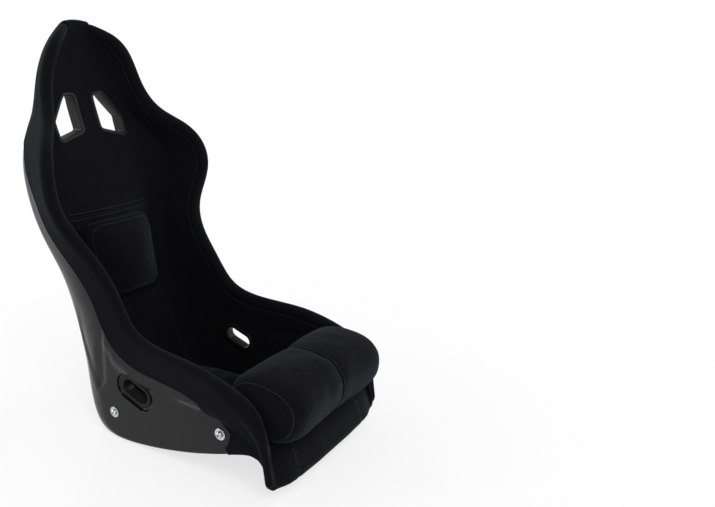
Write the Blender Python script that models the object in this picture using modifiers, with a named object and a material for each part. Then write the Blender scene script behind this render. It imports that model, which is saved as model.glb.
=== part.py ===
"""Fixed-back bucket seat for a race car.

A gel-coated glass-fibre shell carries shaped foam under a sewn velour cover.
Two harness openings with plastic bezels, a lap-belt slot in each side, a crotch-belt
slot in the pan, four threaded inserts with bolts for side mounts, and loose pads
held by hook-and-loop strips.

Metres, +Z up, the seat faces -Y, the occupant's left is +X, the floor is z = 0.
"""
import bpy
import bmesh
import math
import numpy as np
from mathutils import Matrix, Vector

MM = 0.001

# ---------------------------------------------------------------- driving sizes
SHELL_WALL = 5.0 * MM            # laminate
FIT_GAP = 0.4 * MM               # clearance between layers that touch
FOAM = 20.0 * MM                 # padding under the cover
COVER_WALL = 1.8 * MM            # velour with its backing
PAD_DEPTH = SHELL_WALL + FIT_GAP + FOAM + FIT_GAP + COVER_WALL   # shell back to cover face

SIDE_HALF = 205.0 * MM           # flat mounting face, half of 410 mm
DRAWN_HALF = 205.0 * MM          # side half width that the stations are drawn for
WIDEN = SIDE_HALF / DRAWN_HALF   # share by which a wider seat widens them
BOLT_SPAN = 290.0 * MM           # front to rear bolt, centre to centre
BOLT_SLOPE = math.radians(8.0)   # the bolt line rises to the front
REAR_BOLT = (55.0 * MM, 62.0 * MM)          # y, z
BOLT_D = 8.0 * MM
HEAD_D = 15.0 * MM
HEAD_H = 6.0 * MM
SOCKET_AF = 5.0 * MM
WASHER_D = 24.0 * MM
WASHER_T = 1.6 * MM
INSERT_D = 13.0 * MM
INSERT_FLANGE_D = 25.0 * MM
INSERT_FLANGE_T = 2.5 * MM
INSERT_DEPTH = 16.0 * MM
BOLT_LENGTH = 18.0 * MM
ORIGIN_SHIFT_Y = 19.8 * MM       # brings the middle of the bounding box to y = 0

LAP_CENTRE = (-7.0 * MM, 126.0 * MM)        # y, z on the side face
LAP_SLOT = (70.0 * MM, 32.0 * MM)           # opening, length and height
LAP_DISH = (106.0 * MM, 60.0 * MM)          # moulded recess round it
LAP_DISH_DEPTH = 6.0 * MM
LAP_SLOPE = math.radians(20.0)              # the rear end is higher
LAP_FLANGE = 7.0 * MM            # width of the trim flange round the slot
DISH_WALL = 4.0 * MM             # wall round the recess
DISH_CLEAR = 1.5 * MM            # foam clearance round the recess
TRIM_WALL = 2.0 * MM             # plastic trim sleeve
TRIM_FLANGE = 6.0 * MM           # width of a trim flange
TRIM_FLANGE_T = 2.4 * MM

# harness opening, inner edge first, x and z of its corners
HARNESS = [(31.0, 727.0), (60.0, 729.0), (106.0, 672.0), (104.0, 630.0), (31.0, 648.0)]
HARNESS_R = 9.0 * MM             # corner radius
HARNESS_REAR_FLANGE = 13.0 * MM

CROTCH_Y = -150.0 * MM           # centre of the crotch-belt slot
CROTCH_SLOT = (90.0 * MM, 30.0 * MM)        # across, along

LUMBAR_SWELL = 45.0 * MM         # extra foam at the small of the back
LUMBAR_Z = (345.0 * MM, 120.0 * MM)         # its height and how far it fades up and down
LUMBAR_X = SIDE_HALF - 55.0 * MM            # and sideways
CORNER_FOAM = 6.0 * MM           # foam left at the front corners
CROWN_FOAM = 13.0 * MM           # foam left at the top of the head
CROWN_U = 0.08                   # part of the loft over which it thins
CROWN_BOW = 15.0 * MM            # drop of the top edge where it meets the rim
CROWN_HALF = 48.0 * MM * WIDEN
CORNER_Y = (-285.0 * MM, -325.0 * MM)       # where it starts to thin and where it's thinnest

STRIP_T = 1.5 * MM               # hook-and-loop strip
PAD_LIFT = STRIP_T + 2 * FIT_GAP            # underside of a loose pad above the cover
PAD_SINK = 8.0 * MM              # reach of a pad below the cover's face before it is fitted
BASE_THICK = 38.0 * MM
BASE_HALF = SIDE_HALF - 55.0 * MM           # half width of the base cushion
BASE_Y = (-92.0 * MM, 100.0 * MM)           # its front and rear ends
LUMBAR_THICK = 30.0 * MM
LUMBAR_HALF = SIDE_HALF - 80.0 * MM
LUMBAR_SPAN = (238.0 * MM, 440.0 * MM)      # its lower and upper ends
THIGH_CENTRE = (-310.0 * MM, 169.0 * MM)    # y, z of the thigh roll
THIGH_AXES = (88.0 * MM, 57.0 * MM)         # half depth and half height
THIGH_BELOW = 76.0 * MM          # reach below its centre, before it is fitted to the pan
THIGH_HALF = SIDE_HALF - 13.0 * MM          # half width
THIGH_TILT = math.radians(5.5)
THIGH_VALLEY = 0.80              # height left at the seam between the two lobes

WINDOW_ROWS = 60                 # rows of the solid that trims the cover
WINDOW_OUT = 14.0 * MM           # how far that solid stands out of the shell
WINDOW_IN = 14.0 * MM            # and how far it reaches in, short of the inner skin
RIM_STEPS = 3                    # facets round the padded rim
ROWS = 31                        # loft rows, head to front lip
COLS = 8                         # loft columns, centre line to rim
FLARE_FROM, FLARE = 0.67, 0.25   # share of the side's height where it leaves the flat face
T_BACK, T_SIDE = 2 / 7, 5 / 7    # share of the columns on the flat back, and up to the side
RELAX_STEPS = 2                  # smoothing passes on the layer directions
HEAD_KEEP = (0.25, 0.45)         # part of the loft over which the smoothing comes in
LIP_TURN = (0.90, 1.0)           # part of the loft over which they turn to the lip's
LIP_RISE = math.radians(12.0)    # and how far that direction points up

# Stations of the half shell, from the head down the back, round the heel to the front
# lip. Millimetres:
#  spine y, spine z | rim x, rim y, rim z | half width at the back corner, at mid height |
#  corner radius | reach of the cover on the outside, measured from the rim
STATIONS = [
    (342, 891,  48, 304, 891,  26,  48, 40, 400),
    (356, 828, 101, 297, 850,  63,  97, 50, 400),
    (352, 768, 138, 292, 801,  96, 131, 60, 68),
    (345, 719, 160, 280, 740, 124, 150, 70, 60),
    (333, 679, 186, 249, 687, 157, 174, 85, 72),
    (317, 635, 234, 202, 643, 197, 216, 100, 88),
    (297, 580, 264, 172, 590, 224, 242, 110, 80),
    (283, 504, 264, 163, 524, 224, 240, 110, 58),
    (273, 423, 232, 160, 455, 203, 218, 100, 50),
    (257, 336, 201, 127, 391, 172, 197, 90, 48),
    (227, 243, 192,  76, 324, 164, 198, 75, 45),
    (184, 130, 198,  28, 258, 176, 212, 60, 46),
    (125,   7, 207, -49, 226, 198, 216, 42, 52),
    ( 10,  -7, 215, -138, 218, 210, 216, 42, 50),
    (-116, 15, 220, -214, 204, 212, 220, 44, 48),
    (-232, 52, 226, -285, 166, 214, 224, 46, 60),
    (-316, 76, 221, -332, 116, 214, 219, 44, 400),
    (-346, 30, 216, -346, 46, 205, 213, 42, 400),
]


# ---------------------------------------------------------------- scene helpers
def clear_scene():
    for obj in list(bpy.data.objects):
        bpy.data.objects.remove(obj, do_unlink=True)


def collection(name):
    made = bpy.data.collections.new(name)
    bpy.context.scene.collection.children.link(made)
    return made


clear_scene()
SEAT = collection("bucket_seat")
CUTTERS = collection("cutters")


def material(name, colour, roughness, metallic=0.0, coat=0.0):
    mat = bpy.data.materials.new(name)
    mat.use_nodes = True
    shader = mat.node_tree.nodes["Principled BSDF"]
    shader.inputs["Base Color"].default_value = (*colour, 1.0)
    shader.inputs["Roughness"].default_value = roughness
    shader.inputs["Metallic"].default_value = metallic
    shader.inputs["Coat Weight"].default_value = coat
    mat.diffuse_color = (*colour, 1.0)
    return mat


GEL_COAT = material("gel_coat", (0.012, 0.012, 0.014), 0.18, coat=1.0)
VELOUR = material("velour", (0.014, 0.014, 0.018), 0.95)
FOAM_GREY = material("foam", (0.22, 0.22, 0.21), 0.9)
TRIM_PLASTIC = material("trim_plastic", (0.02, 0.02, 0.022), 0.4)
ZINC = material("zinc_steel", (0.72, 0.72, 0.74), 0.25, metallic=1.0)
HOOK_TAPE = material("hook_tape", (0.03, 0.03, 0.03), 0.85)


def object_from(mesh, name, home=SEAT, mat=None):
    obj = bpy.data.objects.new(name, mesh)
    home.objects.link(obj)
    if mat is not None:
        mesh.materials.clear()
        mesh.materials.append(mat)
    if home is CUTTERS:
        obj.hide_render = True
        obj.display_type = "WIRE"
    return obj


def mesh_from(verts, faces, name):
    mesh = bpy.data.meshes.new(name)
    mesh.from_pydata([tuple(v) for v in verts], [], faces)
    mesh.validate()
    return mesh


def baked(obj):
    """The object with its modifiers applied, as a new mesh on the same object."""
    graph = bpy.context.evaluated_depsgraph_get()
    mesh = bpy.data.meshes.new_from_object(obj.evaluated_get(graph), depsgraph=graph)
    obj.modifiers.clear()
    old = obj.data
    obj.data = mesh
    bpy.data.meshes.remove(old)
    return obj


def boolean(obj, other, operation="DIFFERENCE"):
    mod = obj.modifiers.new(operation.lower(), "BOOLEAN")
    mod.object = other
    mod.operation = operation
    mod.solver = "EXACT"
    return obj


def mirror(obj):
    mod = obj.modifiers.new("mirror", "MIRROR")
    mod.use_axis = (True, False, False)
    mod.merge_threshold = 0.00001
    return mod


# ---------------------------------------------------------------- the loft
def spline(knots, values, x):
    """Natural cubic spline through (knots, values), values as columns."""
    knots = np.asarray(knots, float)
    values = np.asarray(values, float)
    n = len(knots)
    h = np.diff(knots)
    system = np.zeros((n, n))
    right = np.zeros_like(values)
    system[0, 0] = system[-1, -1] = 1.0
    for i in range(1, n - 1):
        system[i, i - 1] = h[i - 1]
        system[i, i] = 2.0 * (h[i - 1] + h[i])
        system[i, i + 1] = h[i]
        right[i] = 6.0 * ((values[i + 1] - values[i]) / h[i] - (values[i] - values[i - 1]) / h[i - 1])
    second = np.linalg.solve(system, right)
    k = np.clip(np.searchsorted(knots, x, side="right") - 1, 0, n - 2)
    t = (x - knots[k])[:, None]
    step = h[k][:, None]
    cube = (second[k + 1] - second[k]) / (6.0 * step)
    slope = (values[k + 1] - values[k]) / step - step * (2.0 * second[k] + second[k + 1]) / 6.0
    return values[k] + t * (slope + t * (second[k] / 2.0 + t * cube))


def straight(a, b, steps=8):
    t = np.linspace(0.0, 1.0, steps + 1)[:, None]
    return a * (1.0 - t) + b * t


def bend(a, corner, b, steps=8):
    t = np.linspace(0.0, 1.0, steps + 1)[:, None]
    return (1 - t) ** 2 * a + 2 * t * (1 - t) * corner + t ** 2 * b


def section(back_half, mid_half, rim_half, height, radius, columns, from_rim=None):
    """Half section in its own plane: flat back, rounded corner, side with a soft bend.

    columns run 0 to 1 from the centre line to the rim; T_BACK and T_SIDE mark the ends
    of the corner. from_rim asks for the column at that distance from the rim instead.
    """
    centre = np.array([0.0, 0.0])
    corner = np.array([back_half, 0.0])
    middle = np.array([mid_half, 0.5 * height])
    rim = np.array([rim_half, height])
    back_len = np.linalg.norm(corner - centre)
    low_len = np.linalg.norm(middle - corner)
    high_len = np.linalg.norm(rim - middle)
    low_dir = (middle - corner) / low_len
    high_dir = (rim - middle) / high_len
    in_back = corner - np.array([min(radius, 0.95 * back_len), 0.0])
    in_side = corner + low_dir * min(radius, 0.55 * low_len)
    below = middle - low_dir * 0.40 * low_len
    above = middle + high_dir * 0.50 * high_len
    path = np.concatenate([
        straight(centre, in_back),
        bend(in_back, corner, in_side)[1:],
        straight(in_side, below)[1:],
        bend(below, middle, above)[1:],
        straight(above, rim)[1:],
    ])
    run = np.concatenate([[0.0], np.cumsum(np.linalg.norm(np.diff(path, axis=0), axis=1))])
    marks = [0.0, run[8], run[16], run[-1]]
    if from_rim is not None:
        return float(np.interp(run[-1] - from_rim, marks, [0.0, T_BACK, T_SIDE, 1.0]))
    at = np.interp(columns, [0.0, T_BACK, T_SIDE, 1.0], marks)
    return np.stack([np.interp(at, run, path[:, 0]), np.interp(at, run, path[:, 1])], -1)


class Loft:
    """Outer face of the half shell as a function of row and column."""

    def __init__(self):
        table = np.array(STATIONS, float) * MM
        spine = np.linalg.norm(np.diff(table[:, 0:2], axis=0), axis=1)
        rim = np.linalg.norm(np.diff(table[:, 2:5], axis=0), axis=1)
        knots = np.concatenate([[0.0], np.cumsum(0.5 * (spine + rim))])
        self.knots = knots / knots[-1]
        self.shape = table[:, :8]
        self.shape[:, [2, 5, 6]] *= WIDEN
        self.reach = table[:, 8]

    def rows(self, u, columns, to_edge=False):
        """Points for each u; with to_edge the columns end at the cover's sewn edge."""
        u = np.asarray(u, float)
        columns = np.asarray(columns, float)
        values = spline(self.knots, self.shape, u)
        reach = np.interp(u, self.knots, self.reach)
        grid = []
        for i, row in enumerate(values):
            sy, sz, rx, ry, rz, back, mid, radius = row
            height = math.hypot(ry - sy, rz - sz)
            toward = np.array([ry - sy, rz - sz]) / height
            share = columns
            if to_edge:
                share = columns * section(back, mid, rx, height, radius, None, reach[i])
            flat = section(back, mid, rx, height, radius, share)
            cap = SIDE_HALF + np.maximum(0.0, flat[:, 1] / height - FLARE_FROM) * FLARE
            x = np.where(u[i] > self.knots[10], np.minimum(flat[:, 0], cap), flat[:, 0])
            bow = CROWN_BOW * max(0.0, 1.0 - u[i] / CROWN_U) * (x / CROWN_HALF) ** 2
            z = np.maximum(sz + flat[:, 1] * toward[1] - bow, 0.0)
            grid.append(np.stack([x, sy + flat[:, 1] * toward[0], z], -1))
        return np.array(grid)


LOFT = Loft()
U = np.linspace(0.0, 1.0, ROWS)
V = np.linspace(0.0, 1.0, COLS)
GRID = LOFT.rows(U, V)


def directions(grid, axis):
    """Mean of the unit directions to both neighbours along one axis of a grid."""
    step = np.diff(grid, axis=axis)
    step = step / np.linalg.norm(step, axis=2, keepdims=True)
    first, last = (step[:1], step[-1:]) if axis == 0 else (step[:, :1], step[:, -1:])
    return np.concatenate([first, step], axis) + np.concatenate([step, last], axis)


def grid_normals(grid):
    """Unit normals toward the occupant, flat across the centre line."""
    along = directions(grid, 0)
    across = directions(grid, 1)
    across[:, 0] = np.array([1.0, 0.0, 0.0])
    along[:, 0, 0] = 0.0
    normal = np.cross(along, across)
    return normal / np.linalg.norm(normal, axis=2, keepdims=True)


def relaxed(normals, passes):
    """Normals averaged with their neighbours, so that deep layers don't fold at a corner."""
    for _ in range(passes):
        padded = np.concatenate([normals[:, 1:2] * np.array([-1.0, 1.0, 1.0]), normals, normals[:, -1:]], 1)
        normals = padded[:, :-2] + 2.0 * padded[:, 1:-1] + padded[:, 2:]
        padded = np.concatenate([normals[:1], normals, normals[-1:]], 0)
        normals = padded[:-2] + 2.0 * padded[1:-1] + padded[2:]
        normals = normals / np.linalg.norm(normals, axis=2, keepdims=True)
    return normals


def blended(upper, lower):
    """Upper directions at the head, lower ones from the middle of the back on."""
    share = np.clip((U - HEAD_KEEP[0]) / (HEAD_KEEP[1] - HEAD_KEEP[0]), 0.0, 1.0)[:, None, None]
    mixed = (1.0 - share) * upper + share * lower
    return mixed / np.linalg.norm(mixed, axis=2, keepdims=True)


def lip_turned(normals):
    """Normals led over to the direction of the front lip along the last rows."""
    share = np.clip((U - LIP_TURN[0]) / (LIP_TURN[1] - LIP_TURN[0]), 0.0, 1.0)[:, None, None]
    share = share * share * (3.0 - 2.0 * share)
    turned = (1.0 - share) * normals + share * np.array([0.0, -math.cos(LIP_RISE), math.sin(LIP_RISE)])
    return turned / np.linalg.norm(turned, axis=2, keepdims=True)


PLAIN = grid_normals(GRID)
NORMALS = lip_turned(blended(PLAIN, relaxed(PLAIN, RELAX_STEPS)))


def padding_change():
    """Foam added at the small of the back and taken off at the crown and front corners."""
    height = np.exp(-((GRID[:, :1, 2] - LUMBAR_Z[0]) / LUMBAR_Z[1]) ** 2)
    height = height * (GRID[:, :1, 1] > 0.10)
    side = np.clip(GRID[:, :, 0] / LUMBAR_X, 0.0, 1.0)
    front = np.clip((CORNER_Y[0] - GRID[:, -1:, 1]) / (CORNER_Y[0] - CORNER_Y[1]), 0.0, 1.0)
    outer = np.clip((np.arange(COLS)[None] - 1.0) / 3.0, 0.0, 1.0)
    crown = np.clip(1.0 - U / CROWN_U, 0.0, 1.0)[:, None]
    thinner = np.maximum((FOAM - CORNER_FOAM) * front * outer, (FOAM - CROWN_FOAM) * crown)
    return LUMBAR_SWELL * height * (1.0 - side ** 2) ** 2 - thinner


SWELL = padding_change()


def offset_grid(depth, swell=0.0):
    """The shell's outer face moved toward the occupant; the centre line stays at x = 0."""
    moved = GRID + NORMALS * (depth + swell * SWELL)[:, :, None] if swell else GRID + NORMALS * depth
    moved[:, 0, 0] = 0.0
    return moved


def grid_faces(rows, cols, start=0, flip=False, parity=0):
    faces = []
    for i in range(rows - 1):
        for j in range(cols - 1):
            a = start + i * cols + j
            b, c, d = a + 1, a + cols + 1, a + cols
            if (i + j + parity) % 2:
                pair = [(a, d, c), (a, c, b)]
            else:
                pair = [(a, d, b), (d, c, b)]
            faces += [tuple(reversed(f)) for f in pair] if flip else pair
    return faces


def facet_point(grid, row, col):
    """Point on the triangles of a grid at a fractional row and column."""
    i = int(min(max(row, 0.0), ROWS - 1.000001))
    j = int(min(max(col, 0.0), COLS - 1.000001))
    s, t = row - i, col - j
    a, b = grid[i, j], grid[i, j + 1]
    c, d = grid[i + 1, j + 1], grid[i + 1, j]
    if (i + j) % 2:
        return a + s * (d - a) + t * (c - d) if s >= t else a + t * (b - a) + s * (c - b)
    if s + t <= 1.0:
        return a + s * (d - a) + t * (b - a)
    return c + (1.0 - s) * (b - c) + (1.0 - t) * (d - c)


def row_at(axis, value, low=0, high=ROWS - 1):
    """Nearest loft row whose centre point has this y or z, among rows low to high."""
    return low + int(np.argmin(np.abs(GRID[low:high + 1, 0, axis] - value)))


def block(name, near, far, rows=(0, ROWS - 1), cols=(0, COLS - 1), sign=0.0, joint=0.0,
          home=CUTTERS, mat=None):
    """Closed solid between two grids over a block of the loft.

    sign 0 spans both halves, 1 or -1 keeps to one side. joint is the share of a cell
    left free along its borders.
    """
    at_rows = [float(r) for r in range(rows[0], rows[1] + 1)]
    at_cols = [float(c) for c in range(cols[0], cols[1] + 1)]
    at_rows[0] += joint
    at_rows[-1] -= joint
    at_cols[-1] -= joint
    closed = cols[0] > 0 or sign != 0.0
    if closed:
        at_cols[0] += joint
    tall, wide = len(at_rows), len(at_cols)
    count = tall * wide
    verts = [facet_point(near, r, c) for r in at_rows for c in at_cols]
    verts += [facet_point(far, r, c) for r in at_rows for c in at_cols]
    parity = rows[0] + cols[0]
    faces = grid_faces(tall, wide, 0, False, parity) + grid_faces(tall, wide, count, True, parity)
    loop = list(range(wide)) + [i * wide + wide - 1 for i in range(1, tall)]
    loop += [(tall - 1) * wide + j for j in range(wide - 2, -1, -1)]
    if closed:
        loop += [i * wide for i in range(tall - 2, -1, -1)]
    for a, b in zip(loop[:-1], loop[1:]):
        # the border quads of neighbouring blocks are split along the same diagonal
        if a < b:
            faces += [(a, b, b + count), (a, b + count, a + count)]
        else:
            faces += [(a, b, a + count), (b, b + count, a + count)]
    verts = np.array(verts)
    if sign < 0.0:
        verts[:, 0] *= -1.0
    obj = object_from(mesh_from(verts, faces, name), name, home, mat)
    if not closed:
        mirror(obj)
        baked(obj)
    outward(obj.data)
    return obj


def outward(mesh):
    work = bmesh.new()
    work.from_mesh(mesh)
    bmesh.ops.recalc_face_normals(work, faces=work.faces)
    if work.calc_volume(signed=True) < 0.0:
        bmesh.ops.reverse_faces(work, faces=work.faces)
    work.to_mesh(mesh)
    work.free()


# ---------------------------------------------------------------- flat outlines
def rounded(corners, radius, steps=3):
    """Closed outline with each corner rounded; corners as (a, b)."""
    points = [np.array(c, float) for c in corners]
    out = []
    for i, corner in enumerate(points):
        before = points[i - 1]
        after = points[(i + 1) % len(points)]
        to_before = (before - corner) / np.linalg.norm(before - corner)
        to_after = (after - corner) / np.linalg.norm(after - corner)
        half = 0.5 * math.acos(np.clip(np.dot(to_before, to_after), -1.0, 1.0))
        reach = radius / math.tan(half)
        out += list(bend(corner + to_before * reach, corner, corner + to_after * reach, steps))
    return np.array(out)


def grown(corners, by):
    """Polygon corners moved out by a distance; corners run clockwise in x, z."""
    points = [np.array(c, float) for c in corners]
    out = []
    for i, corner in enumerate(points):
        before = corner - points[i - 1]
        after = points[(i + 1) % len(points)] - corner
        n1 = np.array([-before[1], before[0]]) / np.linalg.norm(before)
        n2 = np.array([-after[1], after[0]]) / np.linalg.norm(after)
        middle = n1 + n2
        out.append(corner + middle * by / (0.5 * np.dot(middle, middle)))
    return out


def stadium(length, height, slope, steps=6):
    """Slot outline centred on the origin, turned by slope."""
    radius = 0.5 * height
    run = 0.5 * length - radius
    points = []
    for side, start in ((1.0, -90.0), (-1.0, 90.0)):
        for k in range(steps + 1):
            a = math.radians(start + 180.0 * k / steps)
            points.append((side * run + radius * math.cos(a), radius * math.sin(a)))
    c, s = math.cos(slope), math.sin(slope)
    return np.array([(c * a - s * b, s * a + c * b) for a, b in points])


def prism(name, outline, axis, low, high, home=CUTTERS, mat=None):
    """Closed prism of a flat outline along X, Y or Z between two coordinates."""
    order = {"X": lambda a, b, c: (c, a, b), "Y": lambda a, b, c: (a, c, b), "Z": lambda a, b, c: (a, b, c)}[axis]
    count = len(outline)
    verts = [order(a, b, low) for a, b in outline] + [order(a, b, high) for a, b in outline]
    faces = [tuple(range(count)), tuple(range(2 * count - 1, count - 1, -1))]
    faces += [(i, count + i, count + (i + 1) % count, (i + 1) % count) for i in range(count)]
    obj = object_from(mesh_from(verts, faces, name), name, home, mat)
    outward(obj.data)
    return obj


def cylinder(name, diameter, length, centre, axis, sides=24, home=CUTTERS, mat=None):
    """Closed cylinder whose middle is at centre, along axis."""
    mesh = bpy.data.meshes.new(name)
    work = bmesh.new()
    turn = Vector((0, 0, 1)).rotation_difference(Vector(axis)).to_matrix().to_4x4()
    bmesh.ops.create_cone(work, cap_ends=True, segments=sides, radius1=diameter / 2,
                          radius2=diameter / 2, depth=length,
                          matrix=Matrix.Translation(Vector(centre)) @ turn)
    work.to_mesh(mesh)
    work.free()
    return object_from(mesh, name, home, mat)


# ---------------------------------------------------------------- shell
HARNESS_CORNERS = [(x * MM, z * MM) for x, z in HARNESS]
HARNESS_NEAR = 0.200             # y range that the harness cutters cross
HARNESS_FAR = 0.420
SIDE_SIGNS = (("left", 1.0), ("right", -1.0))
FRONT_BOLT = (REAR_BOLT[0] - BOLT_SPAN * math.cos(BOLT_SLOPE),
              REAR_BOLT[1] + BOLT_SPAN * math.sin(BOLT_SLOPE))
BOLTS = (("rear", REAR_BOLT), ("front", FRONT_BOLT))


def harness_prism(name, by, sign, near=HARNESS_NEAR, far=HARNESS_FAR):
    """Prism of the harness opening grown by a distance, on one side."""
    outline = rounded(grown(HARNESS_CORNERS, by), HARNESS_R + by)
    outline[:, 0] *= sign
    return prism(name, outline, "Y", near, far)


def crotch_prism(name, by, low=-0.05, high=0.15):
    outline = stadium(CROTCH_SLOT[0] + 2 * by, CROTCH_SLOT[1] + 2 * by, 0.0)
    outline[:, 1] += CROTCH_Y
    return prism(name, outline, "Z", low, high)


def lap_prism(name, length, height, sign, low, high):
    outline = stadium(length, height, LAP_SLOPE)
    outline += np.array(LAP_CENTRE)
    near, far = sorted((sign * low, sign * high))
    return prism(name, outline, "X", near, far)


def build_shell():
    shell = block("shell", offset_grid(0.0), offset_grid(SHELL_WALL), home=SEAT, mat=GEL_COAT)
    hole_gap = TRIM_WALL + FIT_GAP
    for side, sign in SIDE_SIGNS:
        boolean(shell, harness_prism("harness_cut_" + side, hole_gap, sign))
        dish_hole = lap_prism("dish_cut_" + side, LAP_DISH[0], LAP_DISH[1], sign,
                              SIDE_HALF - 3 * SHELL_WALL, SIDE_HALF + 0.02)
        boolean(shell, dish_hole)
        dish = lap_prism("dish_wall_" + side, LAP_DISH[0] + 1.0 * MM, LAP_DISH[1] + 1.0 * MM, sign,
                         SIDE_HALF - LAP_DISH_DEPTH - SHELL_WALL, SIDE_HALF - 1.0 * MM)
        hollow = lap_prism("dish_hollow_" + side, LAP_DISH[0] - 2 * DISH_WALL, LAP_DISH[1] - 2 * DISH_WALL, sign,
                           SIDE_HALF - LAP_DISH_DEPTH, SIDE_HALF + 0.02)
        slot = lap_prism("lap_cut_" + side, LAP_SLOT[0] + 2 * hole_gap, LAP_SLOT[1] + 2 * hole_gap,
                         sign, SIDE_HALF - 0.03, SIDE_HALF + 0.02)
        boolean(dish, hollow)
        boolean(dish, slot)
        boolean(shell, dish, "UNION")
        for place, (y, z) in BOLTS:
            hole = cylinder("bolt_hole_%s_%s" % (place, side), INSERT_D + 2 * FIT_GAP, 0.03,
                            (sign * SIDE_HALF, y, z), (1, 0, 0))
            boolean(shell, hole)
    boolean(shell, crotch_prism("crotch_cut", hole_gap))
    return shell


# ---------------------------------------------------------------- cover
RIM_PATH = ([(0, j) for j in range(COLS)] + [(i, COLS - 1) for i in range(1, ROWS)]
            + [(ROWS - 1, j) for j in range(COLS - 2, -1, -1)])


def rim_frame(n, inner, outer):
    """Middle, radius, up and out directions of the half-round rim at a border point."""
    i, j = RIM_PATH[n]
    a, b = inner[i, j], outer[i, j]
    radius = 0.5 * np.linalg.norm(a - b)
    up = (a - b) / (2.0 * radius)
    before = GRID[RIM_PATH[max(n - 1, 0)]]
    after = GRID[RIM_PATH[min(n + 1, len(RIM_PATH) - 1)]]
    here = GRID[i, j]
    along = (here - before) / max(np.linalg.norm(here - before), 1e-9)
    along = along + (after - here) / max(np.linalg.norm(after - here), 1e-9)
    if j == 0:
        along = np.array([1.0 if i == 0 else -1.0, 0.0, 0.0])
    out = np.cross(up, along)
    return 0.5 * (a + b), radius, up, out / np.linalg.norm(out)


def envelope(name, skin, home=CUTTERS, mat=None):
    """Closed solid of the padded seat, its surface this far inside the cover's face."""
    inner = offset_grid(PAD_DEPTH - skin, 1.0)
    outer = offset_grid(skin - COVER_WALL - FIT_GAP)
    verts = list(inner.reshape(-1, 3)) + list(outer.reshape(-1, 3))
    count = ROWS * COLS
    faces = grid_faces(ROWS, COLS) + grid_faces(ROWS, COLS, count, True)
    rings = []
    for n, (i, j) in enumerate(RIM_PATH):
        middle, radius, up, out = rim_frame(n, inner, outer)
        ring = [i * COLS + j]
        for k in range(1, RIM_STEPS):
            angle = math.pi * k / RIM_STEPS
            verts.append(middle + up * radius * math.cos(angle) + out * radius * math.sin(angle))
            ring.append(len(verts) - 1)
        ring.append(count + i * COLS + j)
        rings.append(ring)
    for one, two in zip(rings[:-1], rings[1:]):
        for k in range(RIM_STEPS):
            faces += [(one[k], one[k + 1], two[k + 1]), (one[k], two[k + 1], two[k])]
    solid = object_from(mesh_from(verts, faces, name), name, home, mat)
    mirror(solid)
    baked(solid)
    outward(solid.data)
    return solid


def window_cutter():
    """Solid that takes the cover off the shell's outside, up to the sewn edge."""
    fine = np.linspace(0.0, 1.0, WINDOW_ROWS)
    edge = LOFT.rows(fine, [1.0], True)
    centre = LOFT.rows(fine, [0.0])
    open_rows = fine[np.linalg.norm((edge - centre)[:, 0], axis=1) > 0.015]
    grid = LOFT.rows(open_rows, np.linspace(0.0, 1.0, 12), True)
    normal = grid_normals(grid)
    near, far = grid - normal * WINDOW_OUT, grid + normal * WINDOW_IN
    near[:, 0, 0] = far[:, 0, 0] = 0.0
    rows, cols = grid.shape[:2]
    count = rows * cols
    verts = np.concatenate([near.reshape(-1, 3), far.reshape(-1, 3)])
    faces = grid_faces(rows, cols) + grid_faces(rows, cols, count, True)
    border = list(range(cols)) + [i * cols + cols - 1 for i in range(1, rows)]
    border += [(rows - 1) * cols + j for j in range(cols - 2, -1, -1)]
    for a, b in zip(border[:-1], border[1:]):
        faces += [(a, b, b + count), (a, b + count, a + count)]
    cutter = object_from(mesh_from(verts, faces, "window_cut"), "window_cut", CUTTERS)
    mirror(cutter)
    baked(cutter)
    outward(cutter.data)
    return cutter


def build_cover():
    cover = envelope("cover", 0.0, SEAT, VELOUR)
    boolean(cover, envelope("cover_lining", COVER_WALL))
    boolean(cover, window_cutter())
    hole_gap = TRIM_WALL + FIT_GAP
    for side, sign in SIDE_SIGNS:
        boolean(cover, harness_prism("harness_cover_cut_" + side, hole_gap, sign))
        boolean(cover, lap_prism("lap_cover_cut_" + side, LAP_SLOT[0] + 2 * hole_gap,
                                 LAP_SLOT[1] + 2 * hole_gap, sign, SIDE_HALF - 0.06, SIDE_HALF - 0.01))
        y, z = FRONT_BOLT
        boolean(cover, cylinder("bolt_relief_" + side, WASHER_D + 2.0 * MM, 0.02,
                                (sign * SIDE_HALF, y, z), (1, 0, 0)))
    boolean(cover, crotch_prism("crotch_cover_cut", hole_gap))
    return cover


shell_obj = build_shell()
cover_obj = build_cover()


# ---------------------------------------------------------------- foam under the cover
SHOULDER_ROW = row_at(2, 0.600, 0, ROWS // 2)
HEEL_ROW = row_at(2, 0.150, 0, int(ROWS * 0.65))
FOAM_NEAR = offset_grid(SHELL_WALL + FIT_GAP)
FOAM_FAR = offset_grid(SHELL_WALL + FIT_GAP + FOAM, 1.0)
JOINT = 0.02                     # share of a cell left free at a foam joint
CORNER = 5                       # column where the side foam starts
FOAM_BLOCKS = [
    ("foam_head", (0, SHOULDER_ROW), (0, COLS - 1), 0.0),
    ("foam_back", (SHOULDER_ROW, HEEL_ROW), (0, CORNER), 0.0),
    ("foam_wing_left", (SHOULDER_ROW, HEEL_ROW), (CORNER, COLS - 1), 1.0),
    ("foam_wing_right", (SHOULDER_ROW, HEEL_ROW), (CORNER, COLS - 1), -1.0),
    ("foam_pan", (HEEL_ROW, ROWS - 1), (0, CORNER), 0.0),
    ("foam_side_left", (HEEL_ROW, ROWS - 1), (CORNER, COLS - 1), 1.0),
    ("foam_side_right", (HEEL_ROW, ROWS - 1), (CORNER, COLS - 1), -1.0),
]


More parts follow.
